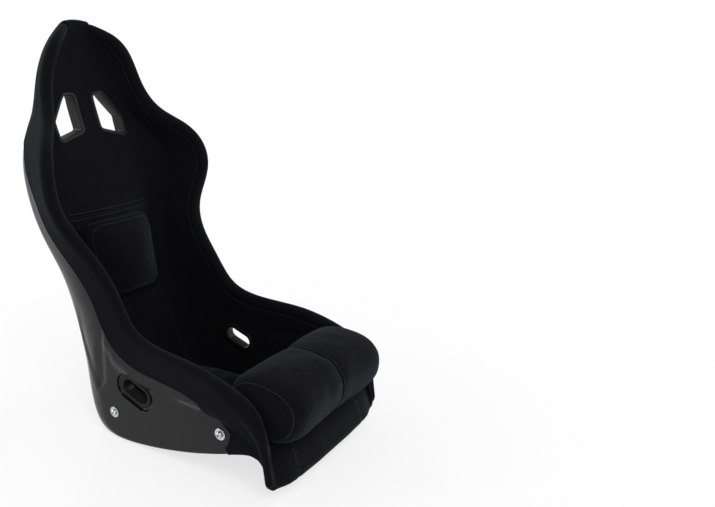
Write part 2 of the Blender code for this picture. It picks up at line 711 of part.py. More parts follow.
def foam_cuts(foam):
    """Openings and pockets for the trims and the threaded inserts."""
    if foam.name in ("foam_head", "foam_back"):
        for side, sign in SIDE_SIGNS:
            boolean(foam, harness_prism(foam.name + "_harness_cut_" + side, TRIM_WALL + FIT_GAP, sign))
    if foam.name == "foam_pan":
        boolean(foam, crotch_prism("foam_crotch_cut", TRIM_WALL + FIT_GAP))
    for side, sign in SIDE_SIGNS:
        if foam.name == "foam_side_" + side:
            boolean(foam, lap_prism("foam_dish_cut_" + side, LAP_DISH[0] + 2 * DISH_CLEAR, LAP_DISH[1] + 2 * DISH_CLEAR,
                                    sign, SIDE_HALF - LAP_DISH_DEPTH - SHELL_WALL - 1.0 * MM, SIDE_HALF + 0.01))
            boolean(foam, lap_prism("foam_lap_cut_" + side, LAP_SLOT[0] + 2 * (TRIM_WALL + FIT_GAP),
                                    LAP_SLOT[1] + 2 * (TRIM_WALL + FIT_GAP), sign,
                                    SIDE_HALF - 0.06, SIDE_HALF + 0.01))
        if foam.name in ("foam_side_" + side, "foam_pan"):
            for place, (y, z) in BOLTS:
                boolean(foam, cylinder("%s_pocket_%s_%s" % (foam.name, place, side), INSERT_FLANGE_D + 2.0 * MM,
                                       2 * (INSERT_DEPTH + 1.0 * MM), (sign * SIDE_HALF, y, z), (1, 0, 0), 16))


for foam_name, foam_rows, foam_cols, foam_sign in FOAM_BLOCKS:
    foam_cuts(block(foam_name, FOAM_NEAR, FOAM_FAR, foam_rows, foam_cols, foam_sign, JOINT, SEAT, FOAM_GREY))


def build_rim_foam():
    """Half-round foam bead inside the rolled rim of the cover."""
    inner = offset_grid(PAD_DEPTH - COVER_WALL - FIT_GAP, 1.0)
    outer = offset_grid(0.0)
    verts, faces = [], []
    size = RIM_STEPS + 1
    for n, (i, j) in enumerate(RIM_PATH):
        middle, radius, up, out = rim_frame(n, inner, outer)
        for k in range(size):
            angle = math.pi * k / RIM_STEPS
            point = middle + up * (0.92 * radius - 2 * FIT_GAP) * math.cos(angle)
            point = point + out * (2 * FIT_GAP + 0.80 * radius * math.sin(angle))
            if j == 0:
                point[0] = 0.0
            verts.append(point)
    for n in range(len(RIM_PATH) - 1):
        for k in range(size):
            a, b = n * size + k, n * size + (k + 1) % size
            faces += [(a, b, b + size), (a, b + size, a + size)]
    bead = object_from(mesh_from(verts, faces, "rim_foam"), "rim_foam", SEAT, FOAM_GREY)
    mirror(bead)
    baked(bead)
    outward(bead.data)
    return bead


build_rim_foam()


# ---------------------------------------------------------------- trims
def bezel(name, prism_of, flange, face, outside, sign=0.0, rows=(0, ROWS - 1)):
    """Plastic trim: a flange on one face of the seat and a sleeve into the opening."""
    half = 0.5 * PAD_DEPTH
    if outside:
        span = (-FIT_GAP - TRIM_FLANGE_T, -FIT_GAP)
        sleeve_span = (-FIT_GAP - 0.5 * TRIM_FLANGE_T, half - 0.5 * FIT_GAP)
    else:
        span = (PAD_DEPTH + FIT_GAP, PAD_DEPTH + FIT_GAP + TRIM_FLANGE_T)
        sleeve_span = (half + 0.5 * FIT_GAP, PAD_DEPTH + FIT_GAP + 0.5 * TRIM_FLANGE_T)
    swell = 0.0 if outside else 1.0
    trim = block(name, offset_grid(span[0], swell), offset_grid(span[1], swell), rows, sign=sign,
                 home=SEAT, mat=TRIM_PLASTIC)
    sleeve = block(name + "_sleeve", offset_grid(sleeve_span[0]), offset_grid(sleeve_span[1], swell), rows, sign=sign)
    boolean(trim, prism_of(name + "_outline", TRIM_WALL + flange), "INTERSECT")
    boolean(sleeve, prism_of(name + "_sleeve_outline", TRIM_WALL), "INTERSECT")
    boolean(trim, sleeve, "UNION")
    boolean(trim, prism_of(name + "_opening", 0.0))
    return trim


HEAD_ROWS = (row_at(2, 0.780, 0, ROWS // 2), row_at(2, 0.580, 0, ROWS // 2))
for side, sign in SIDE_SIGNS:
    shape = lambda name, by, sign=sign: harness_prism(name, by, sign)
    bezel("harness_bezel_front_" + side, shape, TRIM_FLANGE, PAD_DEPTH, False, sign, HEAD_ROWS)
    bezel("harness_bezel_rear_" + side, shape, HARNESS_REAR_FLANGE, 0.0, True, sign, HEAD_ROWS)
PAN_ROWS = (row_at(1, CROTCH_Y + 0.08, ROWS // 2), row_at(1, CROTCH_Y - 0.08, ROWS // 2))
bezel("crotch_trim_upper", crotch_prism, TRIM_FLANGE, PAD_DEPTH, False, 0.0, PAN_ROWS)
bezel("crotch_trim_lower", crotch_prism, TRIM_FLANGE, 0.0, True, 0.0, PAN_ROWS)


def swept(name, profile, outline_of, place, home=SEAT, mat=None):
    """Ring with a closed profile of (grown by, coordinate) swept round an outline."""
    verts, faces = [], []
    for by, depth in profile:
        outline = outline_of(by)
        count = len(outline)
        verts += [place(a, b, depth) for a, b in outline]
    size = len(profile)
    for k in range(size):
        one, two = k * count, (k + 1) % size * count
        faces += [(one + i, one + (i + 1) % count, two + (i + 1) % count, two + i) for i in range(count)]
    obj = object_from(mesh_from(verts, faces, name), name, home, mat)
    outward(obj.data)
    return obj


def lap_outline(by):
    outline = stadium(LAP_SLOT[0] + 2 * by, LAP_SLOT[1] + 2 * by, LAP_SLOPE)
    return outline + np.array(LAP_CENTRE)


DISH_FLOOR = SIDE_HALF - LAP_DISH_DEPTH
COVER_FACE = SIDE_HALF - PAD_DEPTH
SLEEVE_MEET = 0.5 * (DISH_FLOOR + COVER_FACE)
for side, sign in SIDE_SIGNS:
    put = lambda a, b, depth, sign=sign: (sign * depth, a, b)
    for label, seat_face, tip, turn in (("outer", DISH_FLOOR, SLEEVE_MEET + 0.5 * FIT_GAP, 1.0),
                                        ("inner", COVER_FACE, SLEEVE_MEET - 0.5 * FIT_GAP, -1.0)):
        under = seat_face + turn * FIT_GAP
        top = under + turn * TRIM_FLANGE_T
        swept("lap_trim_%s_%s" % (label, side),
              [(0.0, tip), (0.0, top), (TRIM_WALL + LAP_FLANGE - 1.0 * MM, top),
               (TRIM_WALL + LAP_FLANGE, top - turn * 1.0 * MM), (TRIM_WALL + LAP_FLANGE, under),
               (TRIM_WALL, under), (TRIM_WALL, tip)], lap_outline, put, mat=TRIM_PLASTIC)


# ---------------------------------------------------------------- mounting hardware
def circle_of(y, z, sides):
    return lambda radius: np.array([(y + radius * math.cos(2 * math.pi * k / sides),
                                     z + radius * math.sin(2 * math.pi * k / sides)) for k in range(sides)])


def solid_turned(name, profile, y, z, sign, sides, mat):
    """Solid of revolution along X; the profile's first and last points lie on its axis."""
    rings = profile[1:-1]
    verts = [(sign * (SIDE_HALF + profile[0][1]), y, z)]
    for radius, out in rings:
        verts += [(sign * (SIDE_HALF + out), a, b) for a, b in circle_of(y, z, sides)(radius)]
    verts.append((sign * (SIDE_HALF + profile[-1][1]), y, z))
    faces = []
    for i in range(sides):
        n = (i + 1) % sides
        faces.append((0, 1 + i, 1 + n))
        for k in range(len(rings) - 1):
            a, b = 1 + k * sides, 1 + (k + 1) * sides
            faces.append((a + i, b + i, b + n, a + n))
        last = 1 + (len(rings) - 1) * sides
        faces.append((last + i, len(verts) - 1, last + n))
    obj = object_from(mesh_from(verts, faces, name), name, SEAT, mat)
    outward(obj.data)
    return obj


for side, sign in SIDE_SIGNS:
    for place, (y, z) in BOLTS:
        put = lambda a, b, depth, sign=sign: (sign * (SIDE_HALF + depth), a, b)
        bore = 0.5 * BOLT_D + 0.3 * MM
        barrel, flange_r = 0.5 * INSERT_D, 0.5 * INSERT_FLANGE_D
        flange_at = -SHELL_WALL - 4 * FIT_GAP
        swept("insert_%s_%s" % (place, side),
              [(bore, -FIT_GAP), (barrel, -FIT_GAP), (barrel, flange_at), (flange_r, flange_at),
               (flange_r, flange_at - INSERT_FLANGE_T), (barrel, flange_at - INSERT_FLANGE_T),
               (barrel, -INSERT_DEPTH), (bore, -INSERT_DEPTH)], circle_of(y, z, 12), put, mat=ZINC)
        swept("washer_%s_%s" % (place, side),
              [(bore, FIT_GAP), (0.5 * WASHER_D, FIT_GAP), (0.5 * WASHER_D, FIT_GAP + WASHER_T),
               (bore, FIT_GAP + WASHER_T)], circle_of(y, z, 16), put, mat=ZINC)
        seat_at = 2 * FIT_GAP + WASHER_T
        bolt = solid_turned("bolt_%s_%s" % (place, side),
                            [(0.0, seat_at - BOLT_LENGTH), (0.5 * BOLT_D, seat_at - BOLT_LENGTH),
                             (0.5 * BOLT_D, seat_at), (0.5 * HEAD_D, seat_at), (0.5 * HEAD_D, seat_at + 0.45 * HEAD_H),
                             (0.42 * HEAD_D, seat_at + 0.8 * HEAD_H), (0.30 * HEAD_D, seat_at + HEAD_H),
                             (0.0, seat_at + HEAD_H)], y, z, sign, 16, ZINC)
        boolean(bolt, cylinder("socket_%s_%s" % (place, side), SOCKET_AF / math.cos(math.radians(30)),
                               2 * 0.6 * HEAD_H, (sign * (SIDE_HALF + seat_at + HEAD_H), y, z), (1, 0, 0), 6))


# ---------------------------------------------------------------- loose pads
UNDERSIDE = envelope("pad_underside", -PAD_LIFT)
PAD_BASE = offset_grid(0.0, 1.0)
PAD_CELLS = 12


def col_at(row, x):
    """Fractional column where a loft row reaches this half width."""
    widths = [facet_point(GRID, row, float(j))[0] for j in range(COLS)]
    return float(np.interp(x, np.maximum.accumulate(widths), range(COLS)))


def row_between(axis, value, rows):
    """Fractional row where the centre line has this y or z."""
    line = GRID[rows[0]:rows[1] + 1, 0, axis]
    order = np.argsort(line)
    return rows[0] + float(np.interp(value, line[order], np.arange(len(line))[order]))


def rounded_pad(name, first_row, last_row, half, thick, mat=VELOUR, power=7.0, dome=2.6):
    """Soft pad on the seat's face: rounded outline, domed top, flat underside."""
    steps = np.sin(0.5 * math.pi * np.linspace(-1.0, 1.0, PAD_CELLS + 1))
    middle, reach = 0.5 * (first_row + last_row), 0.5 * (last_row - first_row)
    near, far = [], []
    for a in steps:
        for b in steps:
            ring = max(abs(a), abs(b))
            pull = 1.0
            if ring > 0.0:
                pull = (abs(a / ring) ** power + abs(b / ring) ** power) ** (-1.0 / power)
            row = middle + reach * a * pull
            x = half * b * pull
            col = col_at(row, abs(x))
            place = facet_point(PAD_BASE, row, col)
            normal = facet_point(NORMALS, row, col)
            normal = normal / np.linalg.norm(normal)
            turn = np.array([-1.0 if x < 0.0 else 1.0, 1.0, 1.0])
            rise = (1.0 - ring ** 6.0) ** (1.0 / dome)
            near.append((place + normal * (PAD_DEPTH - PAD_SINK)) * turn)
            far.append((place + normal * (PAD_DEPTH - PAD_SINK + (thick + PAD_SINK) * rise)) * turn)
    size = PAD_CELLS + 1
    count = size * size
    faces, inner = [], set()
    border = ([(0, j) for j in range(size)] + [(i, size - 1) for i in range(1, size)]
              + [(size - 1, j) for j in range(size - 2, -1, -1)] + [(i, 0) for i in range(size - 2, 0, -1)])
    rim = {i * size + j for i, j in border}
    at = lambda k, top: k if top or k in rim else count + k
    for i in range(size - 1):
        for j in range(size - 1):
            a, b, c, d = i * size + j, i * size + j + 1, (i + 1) * size + j + 1, (i + 1) * size + j
            faces += [tuple(at(k, True) for k in (a, b, c, d)), tuple(at(k, False) for k in (d, c, b, a))]
    mesh = mesh_from(far + near, faces, name)
    work = bmesh.new()
    work.from_mesh(mesh)
    bmesh.ops.delete(work, geom=[v for v in work.verts if not v.link_faces], context="VERTS")
    bmesh.ops.triangulate(work, faces=work.faces)
    work.to_mesh(mesh)
    work.free()
    pad = object_from(mesh, name, SEAT, mat)
    outward(pad.data)
    boolean(pad, UNDERSIDE)
    return pad


def thigh_roll(name):
    """Two lobes side by side with a seam between them, resting on the front of the pan."""
    across, around = 22, 20
    verts, faces = [], []
    for k in range(across + 1):
        x = math.sin(0.5 * math.pi * (2.0 * k / across - 1.0)) if k in (0, across) else 2.0 * k / across - 1.0
        end = (1.0 - abs(x) ** 9.0) ** (1.0 / 3.0)
        valley = 1.0 - (1.0 - THIGH_VALLEY) * math.exp(-(x / 0.16) ** 2)
        if k in (0, across):
            verts.append((x * THIGH_HALF, THIGH_CENTRE[0], THIGH_CENTRE[1]))
            continue
        for n in range(around):
            angle = 2.0 * math.pi * n / around
            c, s = math.cos(angle), math.sin(angle)
            round_off = (abs(c) ** 2.3 + abs(s) ** 2.3) ** (-1.0 / 2.3)
            a = THIGH_AXES[0] * end * (0.5 + 0.5 * valley) * c * round_off
            b = (THIGH_AXES[1] * valley if s > 0.0 else THIGH_BELOW) * end * s * round_off
            verts.append((x * THIGH_HALF,
                          THIGH_CENTRE[0] + a * math.cos(THIGH_TILT) - b * math.sin(THIGH_TILT),
                          THIGH_CENTRE[1] + a * math.sin(THIGH_TILT) + b * math.cos(THIGH_TILT)))
    ring = lambda k: 1 + (k - 1) * around
    last = len(verts) - 1
    for n in range(around):
        m = (n + 1) % around
        faces += [(0, ring(1) + m, ring(1) + n), (last, ring(across - 1) + n, ring(across - 1) + m)]
        for k in range(1, across - 1):
            a, b = ring(k), ring(k + 1)
            faces += [(a + n, a + m, b + m), (a + n, b + m, b + n)]
    roll = object_from(mesh_from(verts, faces, name), name, SEAT, VELOUR)
    outward(roll.data)
    boolean(roll, UNDERSIDE)
    return roll


BACK_ROWS = (0, int(ROWS * 0.6))
SEAT_ROWS = (int(ROWS * 0.66), ROWS - 1)
rounded_pad("lumbar_pad", row_between(2, LUMBAR_SPAN[1], BACK_ROWS), row_between(2, LUMBAR_SPAN[0], BACK_ROWS),
            LUMBAR_HALF, LUMBAR_THICK)
rounded_pad("base_cushion", row_between(1, BASE_Y[1], SEAT_ROWS), row_between(1, BASE_Y[0], SEAT_ROWS),
            BASE_HALF, BASE_THICK)
thigh_roll("thigh_cushion")


def strip(name, row, rows=1):
    """Hook-and-loop strip on the cover, under a pad."""
    low, high = PAD_DEPTH + FIT_GAP, PAD_DEPTH + FIT_GAP + STRIP_T
    return block(name, offset_grid(low, 1.0), offset_grid(high, 1.0), (row, row + rows), (0, 1),
                 0.0, 0.25, SEAT, HOOK_TAPE)


strip("lumbar_strip_upper", row_at(2, 0.390, 0, ROWS // 2))
strip("lumbar_strip_lower", row_at(2, 0.300, 0, ROWS // 2 + 2))
strip("base_strip_rear", row_at(1, 0.060, ROWS // 2))
strip("base_strip_front", row_at(1, -0.020, ROWS // 2))
strip("thigh_strip", row_at(1, -0.265, ROWS // 2))


# ---------------------------------------------------------------- origin
for mesh in {obj.data for obj in list(SEAT.objects) + list(CUTTERS.objects)}:
    mesh.transform(Matrix.Translation((0.0, ORIGIN_SHIFT_Y, 0.0)))
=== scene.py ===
"""Looks of a fixed-back bucket seat: gel-coated shell, velour cover, loose pads, mounts."""
import math

import bmesh
import bpy
import numpy as np
from mathutils import Matrix, Vector, noise
from mathutils.bvhtree import BVHTree
from mathutils.kdtree import KDTree


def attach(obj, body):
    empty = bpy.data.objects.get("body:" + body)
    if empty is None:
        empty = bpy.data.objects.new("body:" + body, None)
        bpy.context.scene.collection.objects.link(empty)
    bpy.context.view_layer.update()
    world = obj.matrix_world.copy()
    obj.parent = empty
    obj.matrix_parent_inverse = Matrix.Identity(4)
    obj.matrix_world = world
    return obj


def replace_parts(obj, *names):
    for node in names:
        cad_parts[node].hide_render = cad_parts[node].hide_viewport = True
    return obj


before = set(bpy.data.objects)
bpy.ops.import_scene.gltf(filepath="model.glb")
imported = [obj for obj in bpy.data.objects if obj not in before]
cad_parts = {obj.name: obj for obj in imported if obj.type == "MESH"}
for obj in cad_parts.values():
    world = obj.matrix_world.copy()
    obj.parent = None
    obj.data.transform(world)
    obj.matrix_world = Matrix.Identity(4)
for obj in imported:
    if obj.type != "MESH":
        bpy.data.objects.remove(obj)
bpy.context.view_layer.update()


# ================ moulded form of the seat
# The shell is laid up in one mould, and the padding and cover follow it. These are the
# mould's cross sections from the head down the back, round the heel to the front lip.
MM = 0.001
SIDE_HALF = 205 * MM             # half width between the flat mounting faces
SHELL_WALL = 5 * MM
PAD_DEPTH = 27.6 * MM            # outside of the shell to the face of the cover
COVER_LAY = 2.2 * MM             # cover and clearance on the outside of the shell
SHIFT_Y = 19.8 * MM              # brings the middle of the seat to y = 0
FLAT_FROM = 10                   # station from which the sides are held to the flat faces
FLARE_FROM, FLARE = 0.67, 0.25   # share of the side's height where it leaves them, slope
BACK_END, CORNER_END = 2 / 7, 5 / 7   # columns where the flat back and its corner end
CROWN_BOW, CROWN_HALF, CROWN_U = 5 * MM, 48 * MM, 0.08   # fall of the head's top edge
RUN_STEPS = 8                    # points to each straight or bent run of a section
BEND_BELOW, BEND_ABOVE = 0.40, 0.50   # shares of the side's two straights taken by its bend
MIRROR = np.array([-1, 1, 1])
# spine y, z | rim x, y, z | half width at the back corner, at mid height | corner radius
# | reach of the cover round the outside, from the rim
STATIONS = [
    (342, 891, 48, 326, 891, 26, 48, 40, 400), (356, 828, 103, 300, 852, 63, 99, 50, 400),
    (352, 768, 138, 292, 801, 96, 131, 60, 68), (345, 719, 160, 280, 740, 124, 150, 70, 60),
    (333, 679, 186, 249, 687, 157, 174, 85, 72), (317, 635, 234, 202, 643, 197, 216, 100, 88),
    (297, 580, 264, 172, 590, 224, 242, 110, 80), (283, 504, 264, 163, 524, 224, 240, 110, 58),
    (273, 423, 232, 160, 455, 203, 218, 100, 50), (257, 336, 201, 127, 391, 172, 197, 90, 48),
    (227, 243, 192, 76, 324, 164, 198, 75, 45), (184, 130, 198, 28, 258, 176, 212, 60, 46),
    (125, 7, 207, -49, 226, 198, 216, 42, 52), (10, -7, 215, -138, 218, 210, 216, 42, 50),
    (-116, 15, 220, -214, 204, 212, 220, 44, 48), (-232, 52, 226, -285, 166, 214, 224, 46, 60),
    (-316, 76, 221, -332, 116, 214, 219, 44, 400), (-346, 30, 216, -346, 46, 205, 213, 42, 400),
]


def spline(knots, values, x):
    """Natural cubic spline through (knots, values), values as columns."""
    n, h = len(knots), np.diff(knots)
    rise = np.diff(values, axis=0) / h[:, None]
    system, right = np.eye(n), np.zeros_like(values)
    for i in range(1, n - 1):
        system[i, i - 1:i + 2] = h[i - 1], 2 * (h[i - 1] + h[i]), h[i]
        right[i] = 6 * (rise[i] - rise[i - 1])
    second = np.linalg.solve(system, right)
    k = np.clip(np.searchsorted(knots, x, side="right") - 1, 0, n - 2)
    t, step = (x - knots[k])[:, None], h[k][:, None]
    slope = rise[k] - step * (2 * second[k] + second[k + 1]) / 6
    third = (second[k + 1] - second[k]) / (6 * step)
    return values[k] + t * (slope + t * (second[k] / 2 + t * third))


def run_of(path):
    """Length along a line of points, at each of them."""
    return np.concatenate([[0], np.cumsum(np.linalg.norm(np.diff(path, axis=0), axis=1))])


def straight(a, b):
    t = np.linspace(0, 1, RUN_STEPS + 1)[:, None]
    return a * (1 - t) + b * t


def bend(a, corner, b):
    t = np.linspace(0, 1, RUN_STEPS + 1)[:, None]
    return (1 - t) ** 2 * a + 2 * t * (1 - t) * corner + t ** 2 * b


def ease(t):
    """Soft step from 0 to 1."""
    t = np.clip(t, 0, 1)
    return t * t * (3 - 2 * t)


def section(back, mid, rim, height, radius, columns=None, from_rim=None):
    """Half section of the mould: flat back, rounded corner, side with a soft bend. Gives
    the points at these columns, or the column at a distance from the rim."""
    corner, top = np.array([back, 0.0]), np.array([rim, height])
    middle = np.array([mid, 0.5 * height])
    low_len, high_len = np.linalg.norm(middle - corner), np.linalg.norm(top - middle)
    low_dir, high_dir = (middle - corner) / low_len, (top - middle) / high_len
    in_back = corner - np.array([min(radius, 0.95 * back), 0.0])
    in_side = corner + low_dir * min(radius, 0.55 * low_len)
    below = middle - low_dir * BEND_BELOW * low_len
    above = middle + high_dir * BEND_ABOVE * high_len
    path = np.concatenate([
        straight(np.zeros(2), in_back), bend(in_back, corner, in_side)[1:],
        straight(in_side, below)[1:], bend(below, middle, above)[1:], straight(above, top)[1:]])
    run, shares = run_of(path), [0, BACK_END, CORNER_END, 1]
    marks = [0, run[RUN_STEPS], run[2 * RUN_STEPS], run[-1]]
    if from_rim is not None:
        return float(np.interp(run[-1] - from_rim, marks, shares))
    at = np.interp(columns, shares, marks)
    return np.stack([np.interp(at, run, path[:, k]) for k in (0, 1)], -1)


TABLE = np.array(STATIONS, float) * MM
TABLE[:, [0, 3]] += SHIFT_Y
KNOTS = 0.5 * (run_of(TABLE[:, 0:2]) + run_of(TABLE[:, 2:5]))
LENGTH = KNOTS[-1]               # of the loft, head to lip
KNOTS = KNOTS / LENGTH


def spans(rows, columns):
    """Rows as an array, and an array of columns for each row."""
    rows, columns = np.asarray(rows, float), np.asarray(columns, float)
    return rows, np.broadcast_to(columns, (len(rows), columns.shape[-1]))


def mould(rows, columns, to_edge=False):
    """Outer face of the half shell; columns may differ from row to row, and to_edge ends
    them at the cover's sewn edge."""
    rows, columns = spans(rows, columns)
    reach = np.interp(rows, KNOTS, TABLE[:, 8])
    grid = []
    for u, row, share, edge in zip(rows, spline(KNOTS, TABLE[:, :8], rows), columns, reach):
        sy, sz, rx, ry, rz, back, mid, radius = row
        height = math.hypot(ry - sy, rz - sz)
        if to_edge:
            share = share * section(back, mid, rx, height, radius, from_rim=edge)
        x, up = section(back, mid, rx, height, radius, share).T
        if u > KNOTS[FLAT_FROM]:
            x = np.minimum(x, SIDE_HALF + np.maximum(0, up / height - FLARE_FROM) * FLARE)
        bow = CROWN_BOW * max(0.0, 1 - u / CROWN_U) ** 2 * (x / max(CROWN_HALF, rx)) ** 2
        z = np.maximum(sz + up * (rz - sz) / height - bow, 0)
        grid.append(np.stack([x, sy + up * (ry - sy) / height, z], -1))
    return np.array(grid)


def unit(vectors):
    return vectors / np.maximum(np.linalg.norm(vectors, axis=-1, keepdims=True), 1e-12)


def slopes(grid, axis):
    """Sum of the unit directions to both neighbours along one axis of a grid."""
    step = unit(np.diff(grid, axis=axis))
    first, last = (step[:1], step[-1:]) if axis == 0 else (step[:, :1], step[:, -1:])
    return np.concatenate([first, step], axis) + np.concatenate([step, last], axis)


def grid_normals(grid):
    """Unit normals toward the occupant, flat across the centre line."""
    along, across = slopes(grid, 0), slopes(grid, 1)
    across[:, 0] = 1, 0, 0
    along[:, 0, 0] = 0
    return unit(np.cross(along, across))


# Directions in which the layers of foam and cover build up, on a coarse net of the loft,
# averaged so that deep layers don't fold in the corners and led forward at the lip.
HEAD_KEEP, LIP_TURN, LIP_RISE = (0.25, 0.45), 0.90, math.radians(12)
NET_U, NET_V = np.linspace(0, 1, 31), np.linspace(0, 1, 8)
NET = mould(NET_U, NET_V)
PLAIN = SOFT = grid_normals(NET)
for _ in range(2):
    wide = np.concatenate([SOFT[:, 1:2] * MIRROR, SOFT, SOFT[:, -1:]], 1)
    SOFT = wide[:, :-2] + 2 * wide[:, 1:-1] + wide[:, 2:]
    tall = np.concatenate([SOFT[:1], SOFT, SOFT[-1:]], 0)
    SOFT = unit(tall[:-2] + 2 * tall[1:-1] + tall[2:])
below_head = np.interp(NET_U, HEAD_KEEP, (0, 1))[:, None, None]
at_lip = ease((NET_U - LIP_TURN) / (1 - LIP_TURN))[:, None, None]
forward = np.array([0, -math.cos(LIP_RISE), math.sin(LIP_RISE)])
NET_OUT = unit((1 - below_head) * PLAIN + below_head * SOFT)
NET_OUT = unit((1 - at_lip) * NET_OUT + at_lip * forward)

SMALL_Z, SMALL_TALL, SMALL_HALF = 345 * MM, 120 * MM, 150 * MM   # small of the back
SMALL_FOAM, CORNER_FOAM, LIP_LESS, CROWN_LESS = 45 * MM, 11 * MM, 14 * MM, 7 * MM
IN_BACK = 100 * MM               # y behind which a centre point belongs to the back
# y at which each change of the front starts, and the run over which it grows
LIP_Y, LIP_GROWS = SHIFT_Y - 0.285, 40 * MM
CORNER_Y, CORNER_GROWS = -190 * MM, 60 * MM


def padding_change():
    """Foam added at the small of the back and inside the front corners, and taken off at
    the crown and the lip."""
    column, rim_y = np.arange(len(NET_V))[None], NET[:, -1:, 1]
    small = np.exp(-((NET[:, :1, 2] - SMALL_Z) / SMALL_TALL) ** 2) * (NET[:, :1, 1] > IN_BACK)
    side = np.clip(NET[:, :, 0] / SMALL_HALF, 0, 1)
    front = np.clip((LIP_Y - rim_y) / LIP_GROWS, 0, 1)
    outer = np.clip((column - 1) / 3, 0, 1)
    wall = np.clip((column - 4) / 2, 0, 1) * np.clip((CORNER_Y - rim_y) / CORNER_GROWS, 0, 1)
    lip = np.clip((NET_U - LIP_TURN) / 0.06, 0, 1)[:, None]
    crown = np.clip(1 - NET_U / CROWN_U, 0, 1)[:, None]
    return (SMALL_FOAM * small * (1 - side ** 2) ** 2 + CORNER_FOAM * wall * (1 - lip)
            - np.maximum(LIP_LESS * front * outer * lip, CROWN_LESS * crown))


NET_SWELL = padding_change()[:, :, None]


def spread(values, rows, columns, odd=(1,)):
    """Values of the net, smoothly between its knots, at each row and column; odd holds -1
    for a value that changes sign across the centre line."""
    wide = np.concatenate([values[:, 3:0:-1] * np.array(odd), values], 1)
    at_v = np.concatenate([-NET_V[3:0:-1], NET_V])
    rows, columns = spans(rows, columns)
    n, m, k = wide.shape
    by_row = spline(NET_U, wide.reshape(n, m * k), rows).reshape(len(rows), m, k)
    return np.array([spline(at_v, r, c) for r, c in zip(by_row, columns)])


def build_up(rows, columns):
    """Unit directions in which the layers build up."""
    return unit(spread(NET_OUT, rows, columns, MIRROR))


def skin(rows, columns, depth, swell=0.0):
    """A layer of the half seat: the mould's outer face moved toward the occupant."""
    lift = depth + swell * spread(NET_SWELL, rows, columns)
    grid = mould(rows, columns) + build_up(rows, columns) * lift
    grid[:, 0, 0] = 0
    return grid


def both(grid):
    """A half grid with its mirror image, as one grid across the whole seat."""
    return np.concatenate([grid[:, :0:-1] * MIRROR, grid], 1)


def net_faces(rows, cols, start=0, flip=False):
    i, j = np.meshgrid(np.arange(rows - 1), np.arange(cols - 1), indexing="ij")
    a = start + i * cols + j
    quad = np.stack([a, a + cols, a + cols + 1, a + 1], -1).reshape(-1, 4)
    return (quad[:, ::-1] if flip else quad).tolist()


def border(rows, cols):
    """Grid positions round the border, once."""
    return ([(0, j) for j in range(cols)] + [(i, cols - 1) for i in range(1, rows)]
            + [(rows - 1, j) for j in range(cols - 2, -1, -1)]
            + [(i, 0) for i in range(rows - 2, 0, -1)])


def band(one, two, count, shift=0):
    """Faces between two rings of points that start at these numbers."""
    return [(one + i, one + (i + 1) % count, two + (i + 1 + shift) % count,
             two + (i + shift) % count) for i in range(count)]


def placed(name, data):
    obj = bpy.data.objects.new(name, data)
    bpy.context.scene.collection.objects.link(obj)
    return obj


def smooth(obj, angle):
    obj.data.polygons.foreach_set("use_smooth", [True] * len(obj.data.polygons))
    obj.data.set_sharp_from_angle(angle=math.radians(angle))


def link(name, verts, faces, material=None, shown=True, sharp=35):
    """A mesh object, its faces turned outward and smooth up to the sharp angle."""
    mesh = bpy.data.meshes.new(name)
    mesh.from_pydata([tuple(v) for v in verts], [], [tuple(f) for f in faces])
    mesh.validate()
    obj = placed(name, mesh)
    work = bmesh.new()
    work.from_mesh(mesh)
    bmesh.ops.recalc_face_normals(work, faces=work.faces)
    if all(e.is_manifold for e in work.edges) and work.calc_volume(signed=True) < 0:
        bmesh.ops.reverse_faces(work, faces=work.faces)
    work.to_mesh(mesh)
    work.free()
    smooth(obj, sharp)
    if material:
        mesh.materials.append(material)
    obj.hide_render = obj.hide_viewport = not shown
    return obj


def applied(obj, sharp=60):
    """Turns an object's modifiers into mesh."""
    graph = bpy.context.evaluated_depsgraph_get()
    mesh = bpy.data.meshes.new_from_object(obj.evaluated_get(graph), depsgraph=graph)
    obj.modifiers.clear()
    old, obj.data = obj.data, mesh
    bpy.data.meshes.remove(old)
    smooth(obj, sharp)


def cut(obj, *tools, sharp=35):
    """Takes the tools out of a solid and throws them away."""
    for tool in tools:
        tool.hide_viewport = False
        mod = obj.modifiers.new("cut", "BOOLEAN")
        mod.object, mod.operation, mod.solver = tool, "DIFFERENCE", "MANIFOLD"
    applied(obj, sharp)
    for tool in tools:
        data = tool.data
        bpy.data.objects.remove(tool)
        bpy.data.meshes.remove(data)


def slab(name, near, far, **options):
    """Closed solid between two whole grids."""
    rows, cols = near.shape[:2]
    count = rows * cols
    faces = net_faces(rows, cols) + net_faces(rows, cols, count, True)
    loop = [i * cols + j for i, j in border(rows, cols)]
    for a, b in zip(loop, loop[1:] + loop[:1]):
        faces.append((a, b, b + count, a + count))
    return link(name, np.concatenate([near.reshape(-1, 3), far.reshape(-1, 3)]), faces, **options)


def prism(outline, axis, low, high):
    """Closed prism of a flat outline along one axis, used as a cutter."""
    count = len(outline)
    order = {"X": (2, 0, 1), "Y": (0, 2, 1), "Z": (0, 1, 2)}[axis]
    ends = [np.column_stack([outline, np.full(count, c)])[:, order] for c in (low, high)]
    faces = [range(count), range(2 * count - 1, count - 1, -1), *band(count, 0, count)]
    return link("cutter", np.concatenate(ends), faces, shown=False)


def swept(name, rings, **options):
    """Closed band through rings of equal length; the last joins the first."""
    count, faces = len(rings[0]), []
    for k in range(len(rings)):
        faces += band(k * count, (k + 1) % len(rings) * count, count)
    return link(name, np.concatenate(rings), faces, **options)


def circle(count):
    return np.linspace(0, 2 * math.pi, count, endpoint=False)


def disc(y, z, radius, sides):
    """Round outline in the plane of the seat's side."""
    angle = circle(sides)
    return np.column_stack([y + radius * np.cos(angle), z + radius * np.sin(angle)])


